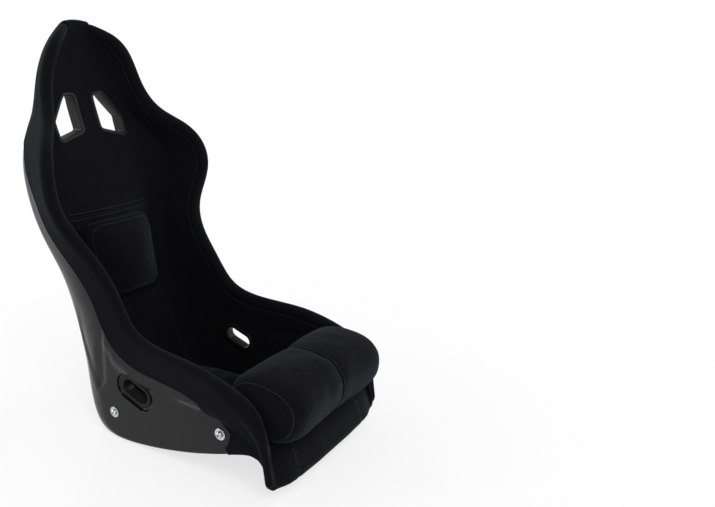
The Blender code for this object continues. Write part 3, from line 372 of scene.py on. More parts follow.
def stadium(length, height, slope=0.0, steps=20):
    """Slot outline centred on the origin, turned by slope."""
    radius, run = 0.5 * height, 0.5 * (length - height)
    angles = np.radians(np.linspace((-90, 90), (90, 270), steps)).T.ravel()
    ends = np.repeat([run, -run], steps)
    a, b = ends + radius * np.cos(angles), radius * np.sin(angles)
    c, s = math.cos(slope), math.sin(slope)
    return np.column_stack([c * a - s * b, s * a + c * b])


def outline_grown(corners, by, radius):
    """Polygon corners, clockwise in x and z, moved out by a distance and rounded."""
    points = np.array(corners, float)
    before, after = points - np.roll(points, 1, 0), np.roll(points, -1, 0) - points
    middle = sum(unit(np.column_stack([-way[:, 1], way[:, 0]])) for way in (before, after))
    moved = points + middle * by / (0.5 * np.sum(middle * middle, 1, keepdims=True))
    ring = []
    for i, corner in enumerate(moved):
        back, on = unit(moved[i - 1] - corner), unit(moved[(i + 1) % len(moved)] - corner)
        reach = radius / math.tan(0.5 * math.acos(np.clip(back @ on, -1, 1)))
        ring += list(bend(corner + back * reach, corner, corner + on * reach))
    return np.array(ring)


# ================ shell
# Glass-fibre laminate, 5 mm thick, with a black gel coat polished outside. Two stiffening
# ribs run from between the harness holes out to the hips, a belly swells between them,
# and a pressed recess takes each lap-belt slot.
HARNESS = np.array([(31, 727), (60, 729), (106, 672), (104, 630), (31, 648)]) * MM   # x, z
HARNESS_R = 9 * MM
TRIM_WALL = 2 * MM
HOLE_GAP = TRIM_WALL + 0.4 * MM
LAP_AT, LAP_SLOPE = (-7 * MM + SHIFT_Y, 126 * MM), math.radians(20)
LAP_SLOT, LAP_DISH = np.array([70, 32]) * MM, np.array([106, 60]) * MM
DISH_DEPTH = 6 * MM
CROTCH_AT, CROTCH_SLOT = (0, -150 * MM + SHIFT_Y), np.array([90, 30]) * MM
BOLT_SPAN, BOLT_SLOPE = 290 * MM, math.radians(8)
REAR_BOLT = (55 * MM + SHIFT_Y, 62 * MM)
FRONT_BOLT = (REAR_BOLT[0] - BOLT_SPAN * math.cos(BOLT_SLOPE),
              REAR_BOLT[1] + BOLT_SPAN * math.sin(BOLT_SLOPE))
INSERT_HOLE = 13.8 * MM
BACK_CUT, FLOOR_CUT = (0.2 + SHIFT_Y, 0.42 + SHIFT_Y), (-0.05, 0.15)   # reach of the cutters


def node_group(name, inputs):
    """An empty shader group that gives a mask, and the sockets at its two ends."""
    tree = bpy.data.node_groups.new(name, "ShaderNodeTree")
    for label, value in inputs.items():
        made = tree.interface.new_socket(label, in_out="INPUT", socket_type="NodeSocketFloat")
        made.default_value = value
    tree.interface.new_socket("Mask", in_out="OUTPUT", socket_type="NodeSocketFloat")
    ends = tree.nodes.new("NodeGroupInput"), tree.nodes.new("NodeGroupOutput")
    return tree, ends[0].outputs, ends[1].inputs


def add(tree, kind, inputs=None, **settings):
    """A shader node with its settings, and its inputs joined or set by name."""
    node = tree.nodes.new("ShaderNode" + kind)
    for key, value in settings.items():
        setattr(node, key, value)
    for key, value in (inputs or {}).items():
        if isinstance(value, bpy.types.NodeSocket):
            tree.links.new(value, node.inputs[key])
        else:
            node.inputs[key].default_value = value
    return node


def here(tree):
    return add(tree, "TexCoord").outputs["Object"]


# Fine speckle for dust, grain and fibres: one noise at a given size, squeezed to a range.
SPECKLE, given, result = node_group(
    "speckle", {"Scale": 400.0, "Detail": 2.0, "Low": 0.35, "High": 0.65})
spots = add(SPECKLE, "TexNoise", {"Vector": here(SPECKLE), "Scale": given["Scale"],
                                  "Detail": given["Detail"]})
squeeze = add(SPECKLE, "MapRange", {"Value": spots.outputs["Fac"], "From Min": given["Low"],
                                    "From Max": given["High"]}, clamp=True)
SPECKLE.links.new(squeeze.outputs["Result"], result["Mask"])

# Convex edges: 1 along them, broken up by a speckle; real wear on the gel coat, painted highlight
# on the velour's rims and the trims' edges.
WEAR_AND_HIGHLIGHT, given, result = node_group("edge wear and highlight", {"Breakup": 0.5, "Amount": 0.5})
pointed = add(WEAR_AND_HIGHLIGHT, "NewGeometry").outputs["Pointiness"]
edge = add(WEAR_AND_HIGHLIGHT, "MapRange", {"Value": pointed, "From Min": 0.52, "From Max": 0.60}, clamp=True)
broken = add(WEAR_AND_HIGHLIGHT, "Math", {0: edge.outputs["Result"], 1: given["Breakup"]}, operation="MULTIPLY")
scaled = add(WEAR_AND_HIGHLIGHT, "Math", {0: broken.outputs[0], 1: given["Amount"]}, operation="MULTIPLY")
WEAR_AND_HIGHLIGHT.links.new(scaled.outputs[0], result["Mask"])


def speckle(tree, scale, low=0.35, high=0.65, detail=2.0):
    return add(tree, "Group", {"Scale": scale, "Detail": detail, "Low": low, "High": high},
               node_tree=SPECKLE).outputs["Mask"]


def edge_wear_and_highlight(tree, breakup, amount):
    return add(tree, "Group", {"Breakup": breakup, "Amount": amount},
               node_tree=WEAR_AND_HIGHLIGHT).outputs["Mask"]


def blend(tree, mask, low, high):
    """Colour between low, which may be a socket, and high."""
    low = low if isinstance(low, bpy.types.NodeSocket) else (*low, 1)
    return add(tree, "Mix", {"Factor": mask, 6: low, 7: (*high, 1)}, data_type="RGBA").outputs[2]


def finish_of(name, **sockets):
    """A material with a Principled shader, its plain sockets set to numbers or colours."""
    mat = bpy.data.materials.new(name)
    mat.use_nodes = True
    shader = mat.node_tree.nodes["Principled BSDF"]
    for key, value in sockets.items():
        shader.inputs[key.replace("_", " ")].default_value = value
    return mat, mat.node_tree, shader


def dress(tree, shader, colour, rough, *bumps):
    """Joins a colour, a roughness of (mask, low, high) and bumps of (height, strength,
    distance), one on the other, to a shader."""
    tree.links.new(colour, shader.inputs["Base Color"])
    spread_out = add(tree, "MapRange", {"Value": rough[0], "To Min": rough[1], "To Max": rough[2]})
    tree.links.new(spread_out.outputs["Result"], shader.inputs["Roughness"])
    below = {}
    for height, strength, distance in bumps:
        node = add(tree, "Bump", {"Height": height, "Strength": strength, "Distance": distance,
                                  **below})
        below = {"Normal": node.outputs["Normal"]}
    tree.links.new(below["Normal"], shader.inputs["Normal"])


gel_coat, tree, shader = finish_of("gel_coat", Coat_Weight=0.62, Coat_Roughness=0.04,
                                   Coat_IOR=1.42, Specular_IOR_Level=0.03)
dusty = blend(tree, speckle(tree, 900, 0.58, 0.72, 3), (0.003, 0.003, 0.0036),
              (0.013, 0.013, 0.014))
worn = blend(tree, edge_wear_and_highlight(tree, speckle(tree, 160, 0.4, 0.7), 0.35), dusty,
             (0.022, 0.022, 0.023))
dress(tree, shader, worn, (speckle(tree, 7, 0.30, 0.70, 3), 0.16, 0.26),
      (speckle(tree, 55, 0.2, 0.8, 2), 0.10, 0.0006),
      (speckle(tree, 9, 0.2, 0.8, 1), 0.10, 0.004))

# in mm: ribs as centre line in x and z, half width and height; outline of the belly
RIBS = [([(24, 622), (25, 560), (29, 505), (64, 443), (98, 396), (124, 352)], 19, 5.0),
        ([(112, 612), (128, 560), (139, 500), (143, 430), (139, 372)], 9, 2.2)]
BELLY = [(0, 480), (42, 425), (84, 370), (110, 338), (90, 322), (0, 316)]
BELLY_HIGH, VALLEY_DEEP = 4.0, 3.5


def off_line(x, z, line):
    """Distance in the x, z plane from points to a line of straight runs."""
    best = np.full(x.shape, 1e9)
    for (ax, az), (bx, bz) in zip(line[:-1], line[1:]):
        dx, dz = bx - ax, bz - az
        t = np.clip(((x - ax) * dx + (z - az) * dz) / (dx * dx + dz * dz), 0, 1)
        best = np.minimum(best, np.hypot(x - ax - t * dx, z - az - t * dz))
    return best


def inside(x, z, outline):
    hit = np.zeros(x.shape, bool)
    for (ax, az), (bx, bz) in zip(outline, outline[1:] + outline[:1]):
        crosses = (az > z) != (bz > z)
        hit ^= crosses & (x < (bx - ax) * (z - az) / (bz - az + 1e-9) + ax)
    return hit


def relief(grid):
    """Height of the shell's moulded detail over its plain face, in metres."""
    x, y, z = np.abs(grid[:, :, 0]) / MM, (grid[:, :, 1] - SHIFT_Y) / MM, grid[:, :, 2] / MM
    behind = ease((y - 175) / 25) * ease((z - 300) / 10)   # the rear face alone
    high = np.zeros(x.shape)
    for line, half, tall in RIBS:
        high = np.maximum(high, tall * ease(1.5 * (1 - off_line(x, z, line) / half)))
    ring = BELLY + [(-a, b) for a, b in reversed(BELLY[1:-1])]
    depth = off_line(x, z, ring + ring[:1]) * np.where(inside(x, z, ring), 1, -1)
    high = np.maximum(high, BELLY_HIGH * ease(depth / 12 + 0.3))
    # the valley behind each mounting panel, between a front and a back line in y
    side = ease((x - 180) / 10) * ease((z - 92) / 12) * ease((300 - z) / 60)
    front, back = 78 + 26 * ease((130 - z) / 40), 101 + 0.62 * np.maximum(z - 92, 0)
    valley = side * ease((y - front) / 7) * ease((back - y) / 12)
    return MM * (behind * high - VALLEY_DEEP * valley)


SHELL_U, SHELL_V = np.linspace(0, 1, 301), np.linspace(0, 1, 73)
shell_plain = mould(SHELL_U, SHELL_V)
shell_face = shell_plain - grid_normals(shell_plain) * relief(shell_plain)[:, :, None]
shell_back = shell_plain + build_up(SHELL_U, SHELL_V) * SHELL_WALL
shell_face[:, 0, 0] = shell_back[:, 0, 0] = 0


def harness_outline(by, sign):
    return outline_grown(HARNESS, by, HARNESS_R + by) * [sign, 1]


def harness_cutter(sign):
    return prism(harness_outline(HOLE_GAP, sign), "Y", *BACK_CUT)


def crotch_outline(by):
    return stadium(*CROTCH_SLOT + 2 * by) + CROTCH_AT


def crotch_cutter():
    return prism(crotch_outline(HOLE_GAP), "Z", *FLOOR_CUT)


def lap_outline(size, steps=20):
    return stadium(*size, LAP_SLOPE, steps) + LAP_AT


def side_cutter(outline, sign, inward, outward):
    """Cutter through one side, by its reach from the mounting face."""
    ends = sorted((sign * (SIDE_HALF - inward), sign * (SIDE_HALF + outward)))
    return prism(outline, "X", *ends)


SIDES = (("left", 1.0), ("right", -1.0))
# share of the way from the lap slot to the rim of its recess, and depth in mm
RECESS = [(1.03, 1.5), (1.035, 0.3), (1.02, -0.35), (0.99, -0.3), (0.955, 0.4), (0.93, 1.6),
          (0.90, 4.2), (0.86, 5.5), (0.80, 6.0), (0.10, 6.0), (0.10, 10.4), (0.80, 10.4),
          (0.96, 9.2), (1.0, 6.0)]
shell = slab("shell_moulding", both(shell_face), both(shell_back), material=gel_coat)
tools = [crotch_cutter()]
for side, sign in SIDES:
    tools += [harness_cutter(sign), side_cutter(lap_outline(LAP_DISH), sign, 15 * MM, 20 * MM)]
    tools += [side_cutter(disc(y, z, 0.5 * INSERT_HOLE, 40), sign, 15 * MM, 15 * MM)
              for y, z in (REAR_BOLT, FRONT_BOLT)]
cut(shell, *tools)
for side, sign in SIDES:
    rings = []
    for share, deep in RECESS:
        ring = lap_outline(LAP_SLOT + (LAP_DISH - LAP_SLOT) * share, 32)
        rings.append(np.column_stack([np.full(len(ring), sign * (SIDE_HALF - deep * MM)), ring]))
    dish = swept("lap_recess_" + side, rings, material=gel_coat, sharp=60)
    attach(dish, "root")
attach(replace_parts(shell, "shell"), "root")


# ================ cover
# One sewn cover of black velour over 20 mm of foam. It rolls round the padded rim and
# ends in a bound edge glued to the outside of the shell. A welted seam follows the inner
# edge of the rim, and a second seam frames the panel the occupant leans and sits on.
velour, tree, shader = finish_of(
    "velour", Sheen_Weight=0.07, Sheen_Roughness=0.36, Sheen_Tint=(0.60, 0.66, 0.88, 1),
    Specular_IOR_Level=0.08)
nap = speckle(tree, 14, 0.30, 0.72, 4)
pile = speckle(tree, 1900, 0.30, 0.70, 2)
brushed = speckle(tree, 120, 0.35, 0.75, 3)
mottle = blend(tree, nap, (0.0015, 0.0015, 0.0021), (0.0028, 0.0028, 0.0037))
fibres = blend(tree, pile, mottle, (0.0046, 0.0047, 0.0061))
# lighter along the convex rims: painted sheen highlight, with some rubbed pile
rub_and_highlight = blend(tree, edge_wear_and_highlight(tree, brushed, 0.5), fibres, (0.011, 0.0115, 0.015))
dress(tree, shader, rub_and_highlight, (brushed, 0.88, 1.0), (pile, 0.55, 0.0006),
      (brushed, 0.18, 0.0012), (nap, 0.10, 0.004))

COVER_WALL = 3.0 * MM
RIM_ROUND = 14                   # facets round the padded rim
SEAM_STEPS = np.array([-7, -3.2, -1.4, 0, 1.4, 3.2, 7]) * MM
WELT_STEPS = np.array([-4.5, -2.6, -1.2, 0, 1.2, 2.6]) * MM
WELT = 5.5 * MM                  # rim seam, in from the edge of the inner face
SEAM_DEEP, SEAM_WIDE, WELT_DEEP, WELT_WIDE = 1.9 * MM, 1.6 * MM, 1.6 * MM, 1.5 * MM
BOLT_CLEAR = 13 * MM             # radius of the bare spot round the front bolt
PANEL_TOP = 0.362                # loft row of the seam over the leaning panel
# column of the frame seam at loft rows, near x = 125 mm
PANEL_SIDE = np.array([(0, .40), (.33, .40), (.36, .36), (.45, .385), (.53, .40), (.60, .33),
                       (.66, .25), (1, .235)])
LEAST_STEP = 0.0009              # between loft rows
cover_u = np.concatenate([np.linspace(0, 1, 249), PANEL_TOP + SEAM_STEPS / LENGTH])
cover_u = np.unique(np.round(cover_u, 6))
cover_u = cover_u[np.concatenate([[True], np.diff(cover_u) > LEAST_STEP])]
girth = np.linalg.norm(np.diff(skin(cover_u, np.linspace(0, 1, 33), PAD_DEPTH, 1), axis=1),
                       axis=2).sum(1)
panel_v = spline(PANEL_SIDE[:, 0], PANEL_SIDE[:, 1:], cover_u)[:, 0]
cover_v = []
for g, v in zip(girth, panel_v):
    seam, welt = v + SEAM_STEPS / g, 1 - WELT / g + WELT_STEPS / g
    cover_v.append(np.concatenate([np.linspace(0, seam[0], 12)[:-1], seam,
                                   np.linspace(seam[-1], welt[0], 24)[1:-1], welt, [1.0]]))
cover_v = np.array(cover_v)
PANEL_AT, WELT_AT = 14, cover_v.shape[1] - 4   # columns of the two seams


def hollow(distance, width, depth):
    """A sewn line: a groove with the padding rising softly beside it."""
    near, wide = (np.exp(-(distance / (width * n)) ** 2) for n in (1, 5))
    return depth * (0.55 * wide - near)


def cover_relief():
    """Height of the seams over the plain padded face."""
    side = (cover_v - panel_v[:, None]) * girth[:, None]
    up = (cover_u[:, None] - PANEL_TOP) * LENGTH
    low, within = ease(up / (2 * MM) + 0.5), ease(-side / (2 * MM) + 0.5)
    frame_seam = hollow(side, SEAM_WIDE, SEAM_DEEP) * low
    top_seam = hollow(up, SEAM_WIDE, SEAM_DEEP) * within
    welt = hollow((cover_v - 1) * girth[:, None] + WELT, WELT_WIDE, WELT_DEEP)
    return (np.where(np.abs(frame_seam) > np.abs(top_seam), frame_seam, top_seam)
            + welt * ease(cover_u / 0.05)[:, None])


def uneven(points, size, height):
    """Gentle hand-made unevenness of stuffed cloth at these points."""
    lift = [noise.noise(Vector(p) / size)
            + 0.5 * noise.noise(Vector(p) * 2.3 / size + Vector((7, 3, 1)))
            for p in points.reshape(-1, 3)]
    return height * np.array(lift).reshape(points.shape[:-1])


face_grid = skin(cover_u, cover_v, PAD_DEPTH, 1)
inner_out = build_up(cover_u, cover_v)
inner_lift = cover_relief() + uneven(face_grid, 0.085, 0.0007)
inner = face_grid + inner_out * inner_lift[:, :, None]
inner[:, 0, 0] = 0
outer = skin(cover_u, cover_v, -COVER_LAY)


def round_about(centre, radius, angles, one, two):
    """Points round a centre, at angles from direction one toward direction two."""
    return centre + radius * (np.cos(angles)[:, None] * one + np.sin(angles)[:, None] * two)


def padded_solid(name, near, far, base, **options):
    """Closed solid of the padded seat between two whole grids, with its half-round rim."""
    rows, cols = near.shape[:2]
    count, size, loop = rows * cols, RIM_ROUND - 1, border(rows, cols)
    turn = np.pi * np.arange(1, RIM_ROUND) / RIM_ROUND
    rings, chain = [], []
    for n, (i, j) in enumerate(loop):
        a, b, at = near[i, j], far[i, j], base[i, j]
        radius = 0.5 * np.linalg.norm(a - b)
        up = (a - b) / (2 * radius)
        along = unit(at - base[loop[n - 1]]) + unit(base[loop[(n + 1) % len(loop)]] - at)
        rings.append(round_about(0.5 * (a + b), radius, turn, up, unit(np.cross(up, along))))
        start = 2 * count + n * size
        chain.append([i * cols + j, *range(start, start + size), count + i * cols + j])
    faces = net_faces(rows, cols) + net_faces(rows, cols, count, True)
    for one, two in zip(chain, chain[1:] + chain[:1]):
        faces += [(one[k], one[k + 1], two[k + 1], two[k]) for k in range(RIM_ROUND)]
    verts = np.concatenate([near.reshape(-1, 3), far.reshape(-1, 3), *rings])
    return link(name, verts, faces, **options)


LEAST_WINDOW, WINDOW_REACH, EDGE_V = 15 * MM, 14 * MM, np.linspace(0, 1, 40)


def window():
    """Solid that takes the cover off the outside of the shell, inside its sewn edge."""
    rows = np.linspace(0, 1, 240)
    edge, centre = mould(rows, [0.5, 1.0], True)[:, 1], mould(rows, [0.0, 0.5])[:, 0]
    rows = rows[np.linalg.norm(edge - centre, axis=1) > LEAST_WINDOW]
    grid = mould(rows, EDGE_V, True)
    reach = WINDOW_REACH * grid_normals(grid)
    near, far = grid - reach, grid + reach
    near[:, 0, 0] = far[:, 0, 0] = 0
    return slab("window", both(near), both(far), shown=False), rows


base_grid = both(mould(cover_u, cover_v))
cover = padded_solid("velour_cover", both(inner), both(outer), base_grid, material=velour,
                     sharp=60)
lining = padded_solid("lining", both(inner - inner_out * COVER_WALL),
                      both(outer + inner_out * COVER_LAY * 0.9), base_grid, shown=False)
opening, window_rows = window()
tools = [lining, opening, crotch_cutter()]
for side, sign in SIDES:
    tools += [harness_cutter(sign),
              side_cutter(lap_outline(LAP_SLOT + 2 * HOLE_GAP), sign, 60 * MM, -10 * MM),
              side_cutter(disc(*FRONT_BOLT, BOLT_CLEAR, 40), sign, 10 * MM, 10 * MM)]
cut(cover, *tools, sharp=60)
FOAMS = ["foam_head", "foam_back", "foam_wing_left", "foam_wing_right", "foam_pan",
         "foam_side_left", "foam_side_right", "rim_foam"]
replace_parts(cover, "cover", *FOAMS)
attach(cover, "root")


def tube(name, path, radius, material, sides):
    """Round cord along a closed line of points."""
    along = unit(np.roll(path, -1, 0) - np.roll(path, 1, 0))
    side = unit(np.cross(along, [0.31, 0.52, 0.79]))
    for k in range(1, len(path)):
        side[k] = unit(side[k - 1] - along[k] * (side[k - 1] @ along[k]))
    verts = np.concatenate([round_about(p, radius, circle(sides), s, o)
                            for p, s, o in zip(path, side, np.cross(along, side))])
    last = (len(path) - 1) * sides
    faces = [face for k in range(0, last, sides) for face in band(k, k + sides, sides)]
    # the first ring is met with the twist that the last one has gained
    twist = int(np.argmin(np.linalg.norm(verts[:sides] - verts[last], axis=1)))
    return link(name, verts, faces + band(last, 0, sides, twist), material=material, sharp=80)


# the bound edge on the outside of the shell
HEM_R, HEM_OUT = 1.9 * MM, 1.1 * MM
hem_rows = np.linspace(window_rows[0], window_rows[-1], 420)
hem_grid = mould(hem_rows, EDGE_V, True)
hem_half = hem_grid[:, -1] - grid_normals(hem_grid)[:, -1] * HEM_OUT
hem = tube("cover_hem", np.concatenate([hem_half, (hem_half * MIRROR)[::-1]]), HEM_R, velour, 12)
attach(hem, "root")

thread, tree, shader = finish_of("thread", Sheen_Weight=0.3, Sheen_Roughness=0.4)
ply = add(tree, "TexWave", {"Vector": here(tree), "Scale": 700.0, "Distortion": 2.0},
          bands_direction="DIAGONAL").outputs["Fac"]
dress(tree, shader, blend(tree, ply, (0.004, 0.004, 0.005), (0.013, 0.013, 0.016)),
      (speckle(tree, 800), 0.5, 0.75), (ply, 0.5, 0.0003))


def resampled(path, step):
    """Points at even steps along a line, their place along it, and that of its points."""
    path = np.asarray(path, float)
    run = run_of(path)
    at = np.arange(0.5 * step, run[-1], step)
    return np.stack([np.interp(at, run, path[:, k]) for k in range(3)], -1), at, run


STITCH_PITCH, STITCH_LONG, THREAD_R = 4.2 * MM, 3.1 * MM, 0.42 * MM
# place along the stitch, its thickness there and its rise
STITCH = [(-0.5, 0.25, -0.5), (-0.30, 0.9, 0.25), (0.0, 1.0, 0.55), (0.30, 0.9, 0.25),
          (0.5, 0.25, -0.5)]


def stitches(name, lines, sides=6):
    """Lock stitches along lines of (points, outward directions), as one piece."""
    verts, faces = [], []
    tail = (len(STITCH) - 1) * sides
    for path, outs in lines:
        spots, at, run = resampled(path, STITCH_PITCH)
        ups = unit(np.stack([np.interp(at, run, outs[:, k]) for k in range(3)], -1))
        for spot, up, on in zip(spots, ups, unit(np.gradient(spots, axis=0))):
            side, start = unit(np.cross(on, up)), len(verts)
            for along, thick, rise in STITCH:
                centre = spot + on * along * STITCH_LONG + up * (rise * THREAD_R)
                verts += list(round_about(centre, THREAD_R * thick, circle(sides), side, up))
            for k in range(start, start + tail, sides):
                faces += band(k, k + sides, sides)
            faces += [range(start + sides - 1, start - 1, -1),
                      range(start + tail, start + tail + sides)]
    piece = link(name, verts, faces, material=thread, sharp=80)
    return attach(piece, "root")


def seam_lines(column, rows, offset):
    """Stitch lines beside a seam column of the cover, on both halves of the seat."""
    out = inner_out[rows][:, column]
    across = unit(inner[rows][:, column + 1] - inner[rows][:, column - 1])
    points = inner[rows][:, column] + across * offset + out * 1.15 * MM
    return [(points, out), (points * MIRROR, out * MIRROR)]


FRAME_STITCH, WELT_STITCH = 3.6 * MM, -3.4 * MM   # beside their seams
frame_rows = np.where(cover_u >= PANEL_TOP)[0]
welt_rows = np.where((cover_u > 0.03) & (cover_u < 0.985))[0]
top_row = int(np.argmin(np.abs(cover_u - PANEL_TOP)))
lines = (seam_lines(PANEL_AT, frame_rows, -FRAME_STITCH)
         + seam_lines(PANEL_AT, frame_rows, FRAME_STITCH)
         + seam_lines(WELT_AT, welt_rows, WELT_STITCH))
for row in (top_row - 3, top_row + 3):
    out = inner_out[row:row + 1, :PANEL_AT + 1]
    half = inner[row:row + 1, :PANEL_AT + 1] + out * 0.3 * MM
    lines.append((both(half)[0], both(out)[0]))
stitches("cover_stitching", lines)


# ================ harness and belt trims
# Injection-moulded bezels of black plastic, snapped together through each opening: a slim
# flange on the velour side, a broad rounded frame on the shell side, and a slim pair
# through the crotch slot. Their sleeves meet half way.
trim_plastic, tree, shader = finish_of("trim_plastic", Specular_IOR_Level=0.14)
grain = add(tree, "TexVoronoi", {"Vector": here(tree), "Scale": 1100.0}).outputs["Distance"]
scuff = speckle(tree, 90, 0.50, 0.75, 4)
shade = blend(tree, scuff, (0.0050, 0.0052, 0.0058), (0.0090, 0.0094, 0.0102))
# lighter along the convex edges: painted highlight of the plastic, with a little scuffing
rub_and_highlight = blend(tree, edge_wear_and_highlight(tree, speckle(tree, 300, 0.35, 0.7), 0.6), shade,
               (0.028, 0.029, 0.032))
dress(tree, shader, rub_and_highlight, (scuff, 0.38, 0.55), (grain, 0.25, 0.0003), (scuff, 0.08, 0.0006))


def surface(grid):
    return BVHTree.FromPolygons([tuple(p) for p in grid.reshape(-1, 3)],
                                net_faces(*grid.shape[:2]))


FACE, OUTSIDE = surface(both(face_grid)), surface(both(shell_face))
MEET_GAP = 0.2 * MM              # half the gap where two sleeves meet


def filled(ring, arc, extra):
    """An outline with points added on the straight runs between its arcs."""
    parts = []
    for k in range(0, len(ring), arc):
        a, b = ring[k + arc - 1], ring[(k + arc) % len(ring)]
        t = np.linspace(0, 1, extra + 2)[1:-1, None]
        parts += [ring[k:k + arc], a * (1 - t) + b * t]
    return np.concatenate(parts)


def trim(name, node, outline, place, aim, face, other, flange, tall=2.8):
    """Ring moulding on one face, its sleeve reaching half way to the other face.

    outline gives the opening's flat outline grown by a distance, place puts it in space
    and aim is the direction in which it is pressed on; flange and height are in mm.
    """
    aim = Vector(aim)
    wall = TRIM_WALL / MM
    wide = wall + flange
    # growth of the outline and height over the face; None is where the sleeves meet
    profile = [(0, None), (0, tall - 1.4), (0.3, tall - 0.6), (1.0, tall - 0.1), (2.2, tall),
               (0.6 * wide, tall), (wide - 2.2, tall - 0.15), (wide - 0.9, tall - 0.6),
               (wide - 0.2, tall - 1.4), (wide, 0.4), (wall, 0.4), (wall, None)]
    rings = []
    for by, lift in profile:
        ring = []
        for a, b in outline(by * MM):
            start = Vector(place(a, b))
            hit, out, _, _ = face.ray_cast(start - aim, aim)
            far, _, _, _ = other.ray_cast(start + aim, -aim)
            out = out if out.dot(aim) < 0 else -out
            meet = (hit + far) / 2 - aim * MEET_GAP
            ring.append(meet if lift is None else hit + out * lift * MM)
        rings.append(np.array(ring))
    piece = swept(name, rings, material=trim_plastic, sharp=50)
    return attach(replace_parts(piece, node), "root")


def on_back(a, b):
    return a, 0.3, b


def on_floor(a, b):
    return a, b, 0.05


def crotch_ring(by):
    return filled(crotch_outline(by), 20, 8)


for side, sign in SIDES:
    def hole(by, sign=sign):
        return filled(harness_outline(by, sign), RUN_STEPS + 1, 6)

    trim("bezel_front_" + side, "harness_bezel_front_" + side, hole, on_back, (0, 1, 0),
         FACE, OUTSIDE, 6)
    trim("bezel_rear_" + side, "harness_bezel_rear_" + side, hole, on_back, (0, -1, 0),
         OUTSIDE, FACE, 13, 3.4)
trim("crotch_trim_top", "crotch_trim_upper", crotch_ring, on_floor, (0, 0, -1), FACE, OUTSIDE, 6)
trim("crotch_trim_below", "crotch_trim_lower", crotch_ring, on_floor, (0, 0, 1), OUTSIDE, FACE, 6)

# the lap-belt slots have a raised rounded frame in the shell's recess
FLOOR, CLOTH = SIDE_HALF - DISH_DEPTH, SIDE_HALF - PAD_DEPTH
for side, sign in SIDES:
    for label, level, turn, tall in (("outer", FLOOR, 1, 3.4), ("inner", CLOTH, -1, 2.8)):
        profile = [(0, None), (0, tall - 1.6), (0.4, tall - 0.7), (1.4, tall - 0.1), (2.8, tall),
                   (5.6, tall), (7.6, tall - 0.5), (8.7, tall - 1.6), (9, 0.4), (2, 0.4), (2, None)]
        rings = []
        for by, lift in profile:
            meet = 0.5 * (FLOOR + CLOTH) + turn * MEET_GAP
            at = meet if lift is None else level + turn * lift * MM
            ring = lap_outline(LAP_SLOT + 2 * by * MM, 28)
            rings.append(np.column_stack([np.full(len(ring), sign * at), ring]))
        frame_piece = swept("lap_frame_%s_%s" % (label, side), rings, material=trim_plastic,
                            sharp=50)
        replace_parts(frame_piece, "lap_trim_%s_%s" % (label, side))
        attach(frame_piece, "root")


# ================ side-mount hardware
# Bright zinc-plated M8 button-head screws with washers, turned into flanged inserts that
# are moulded into the laminate, 290 mm apart on each side.
zinc, tree, shader = finish_of("zinc_steel", Metallic=1.0)
stain = speckle(tree, 220, 0.35, 0.70, 4)
turning = add(tree, "TexNoise", {"Vector": here(tree), "Scale": 1500.0}).outputs["Fac"]
dress(tree, shader, blend(tree, stain, (0.66, 0.68, 0.71), (0.50, 0.51, 0.50)),
      (stain, 0.22, 0.38), (turning, 0.12, 0.0002))

# radius and distance out of the side face, in mm
WASHER = [(4.3, 0.5), (11.6, 0.4), (12.0, 0.8), (12.0, 1.6), (11.6, 2.0), (4.7, 2.0), (4.3, 1.6)]
SCREW = [(0.02, -15.6), (3.4, -15.6), (4.0, -15.0), (4.0, 2.4), (7.2, 2.4), (7.5, 2.8), (7.5, 4.2)]
SCREW += [(7.5 * math.cos(t) ** 0.8, 4.2 + 4.2 * math.sin(t))
          for t in np.radians([18, 36, 52, 66, 76])]
SCREW.append((0.02, 8.4))
SOCKET_R, SOCKET_FLOOR = 2.95 * MM, 4.6 * MM


def turned(name, profile, y, z, sign):
    """Zinc-plated solid or ring of revolution along X."""
    rings = []
    for radius, out in profile:
        ring = disc(y, z, radius * MM, 56)
        rings.append(np.column_stack([np.full(len(ring), sign * (SIDE_HALF + out * MM)), ring]))
    return swept(name, rings, material=zinc, sharp=40)


def recoated(name, material):
    """A solid of the pack, shown as it is in another finish."""
    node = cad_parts[name]
    node.data.materials.clear()
    node.data.materials.append(material)
    return node


for side, sign in SIDES:
    for at, (y, z) in (("rear", REAR_BOLT), ("front", FRONT_BOLT)):
        label = "%s_%s" % (at, side)
        washer = turned("washer_disc_" + label, WASHER, y, z, sign)
        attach(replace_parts(washer, "washer_" + label), "root")
        screw = turned("screw_" + label, SCREW, y, z, sign)
        cut(screw, side_cutter(disc(y, z, SOCKET_R, 6), sign, -SOCKET_FLOOR, 12 * MM), sharp=40)
        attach(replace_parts(screw, "bolt_" + label), "root")
        insert = recoated("insert_" + label, zinc)


# ================ lumbar pad and base cushion
# Two loose pads of foam in velour sleeves, held to the cover by hook-and-loop strips. Each
# has a crowned face, soft corners, and a sewn seam round the edge.
hook_tape, tree, shader = finish_of("hook_tape")
hooks = add(tree, "TexVoronoi", {"Vector": here(tree), "Scale": 700.0}).outputs["Distance"]
dress(tree, shader, blend(tree, hooks, (0.05, 0.05, 0.05), (0.012, 0.012, 0.013)),
      (speckle(tree, 500), 0.7, 0.95), (hooks, 0.9, 0.0010))
for name in ("lumbar_strip_upper", "lumbar_strip_lower", "base_strip_rear", "base_strip_front",
             "thigh_strip"):
    tape = recoated(name, hook_tape)

LIFT = 2.3 * MM                  # underside of a loose pad above the cover
SWELL_CAP = 5 * MM               # most that the cloth may move
SWELL_ROOM = 2.5 * MM   # left in the form for the swelling
PRESSURE, VOXEL, FRAMES = 4.0, 5 * MM, 20
SEAM_POINTS = 1.5 * MM           # between the points of a pressed seam
LOOK_U, LOOK_V = np.linspace(0, 1, 241), np.linspace(0, 1, 97)
seat_face, seat_mould = skin(LOOK_U, LOOK_V, PAD_DEPTH, 1), mould(LOOK_U, LOOK_V)
seat_out = build_up(LOOK_U, LOOK_V)


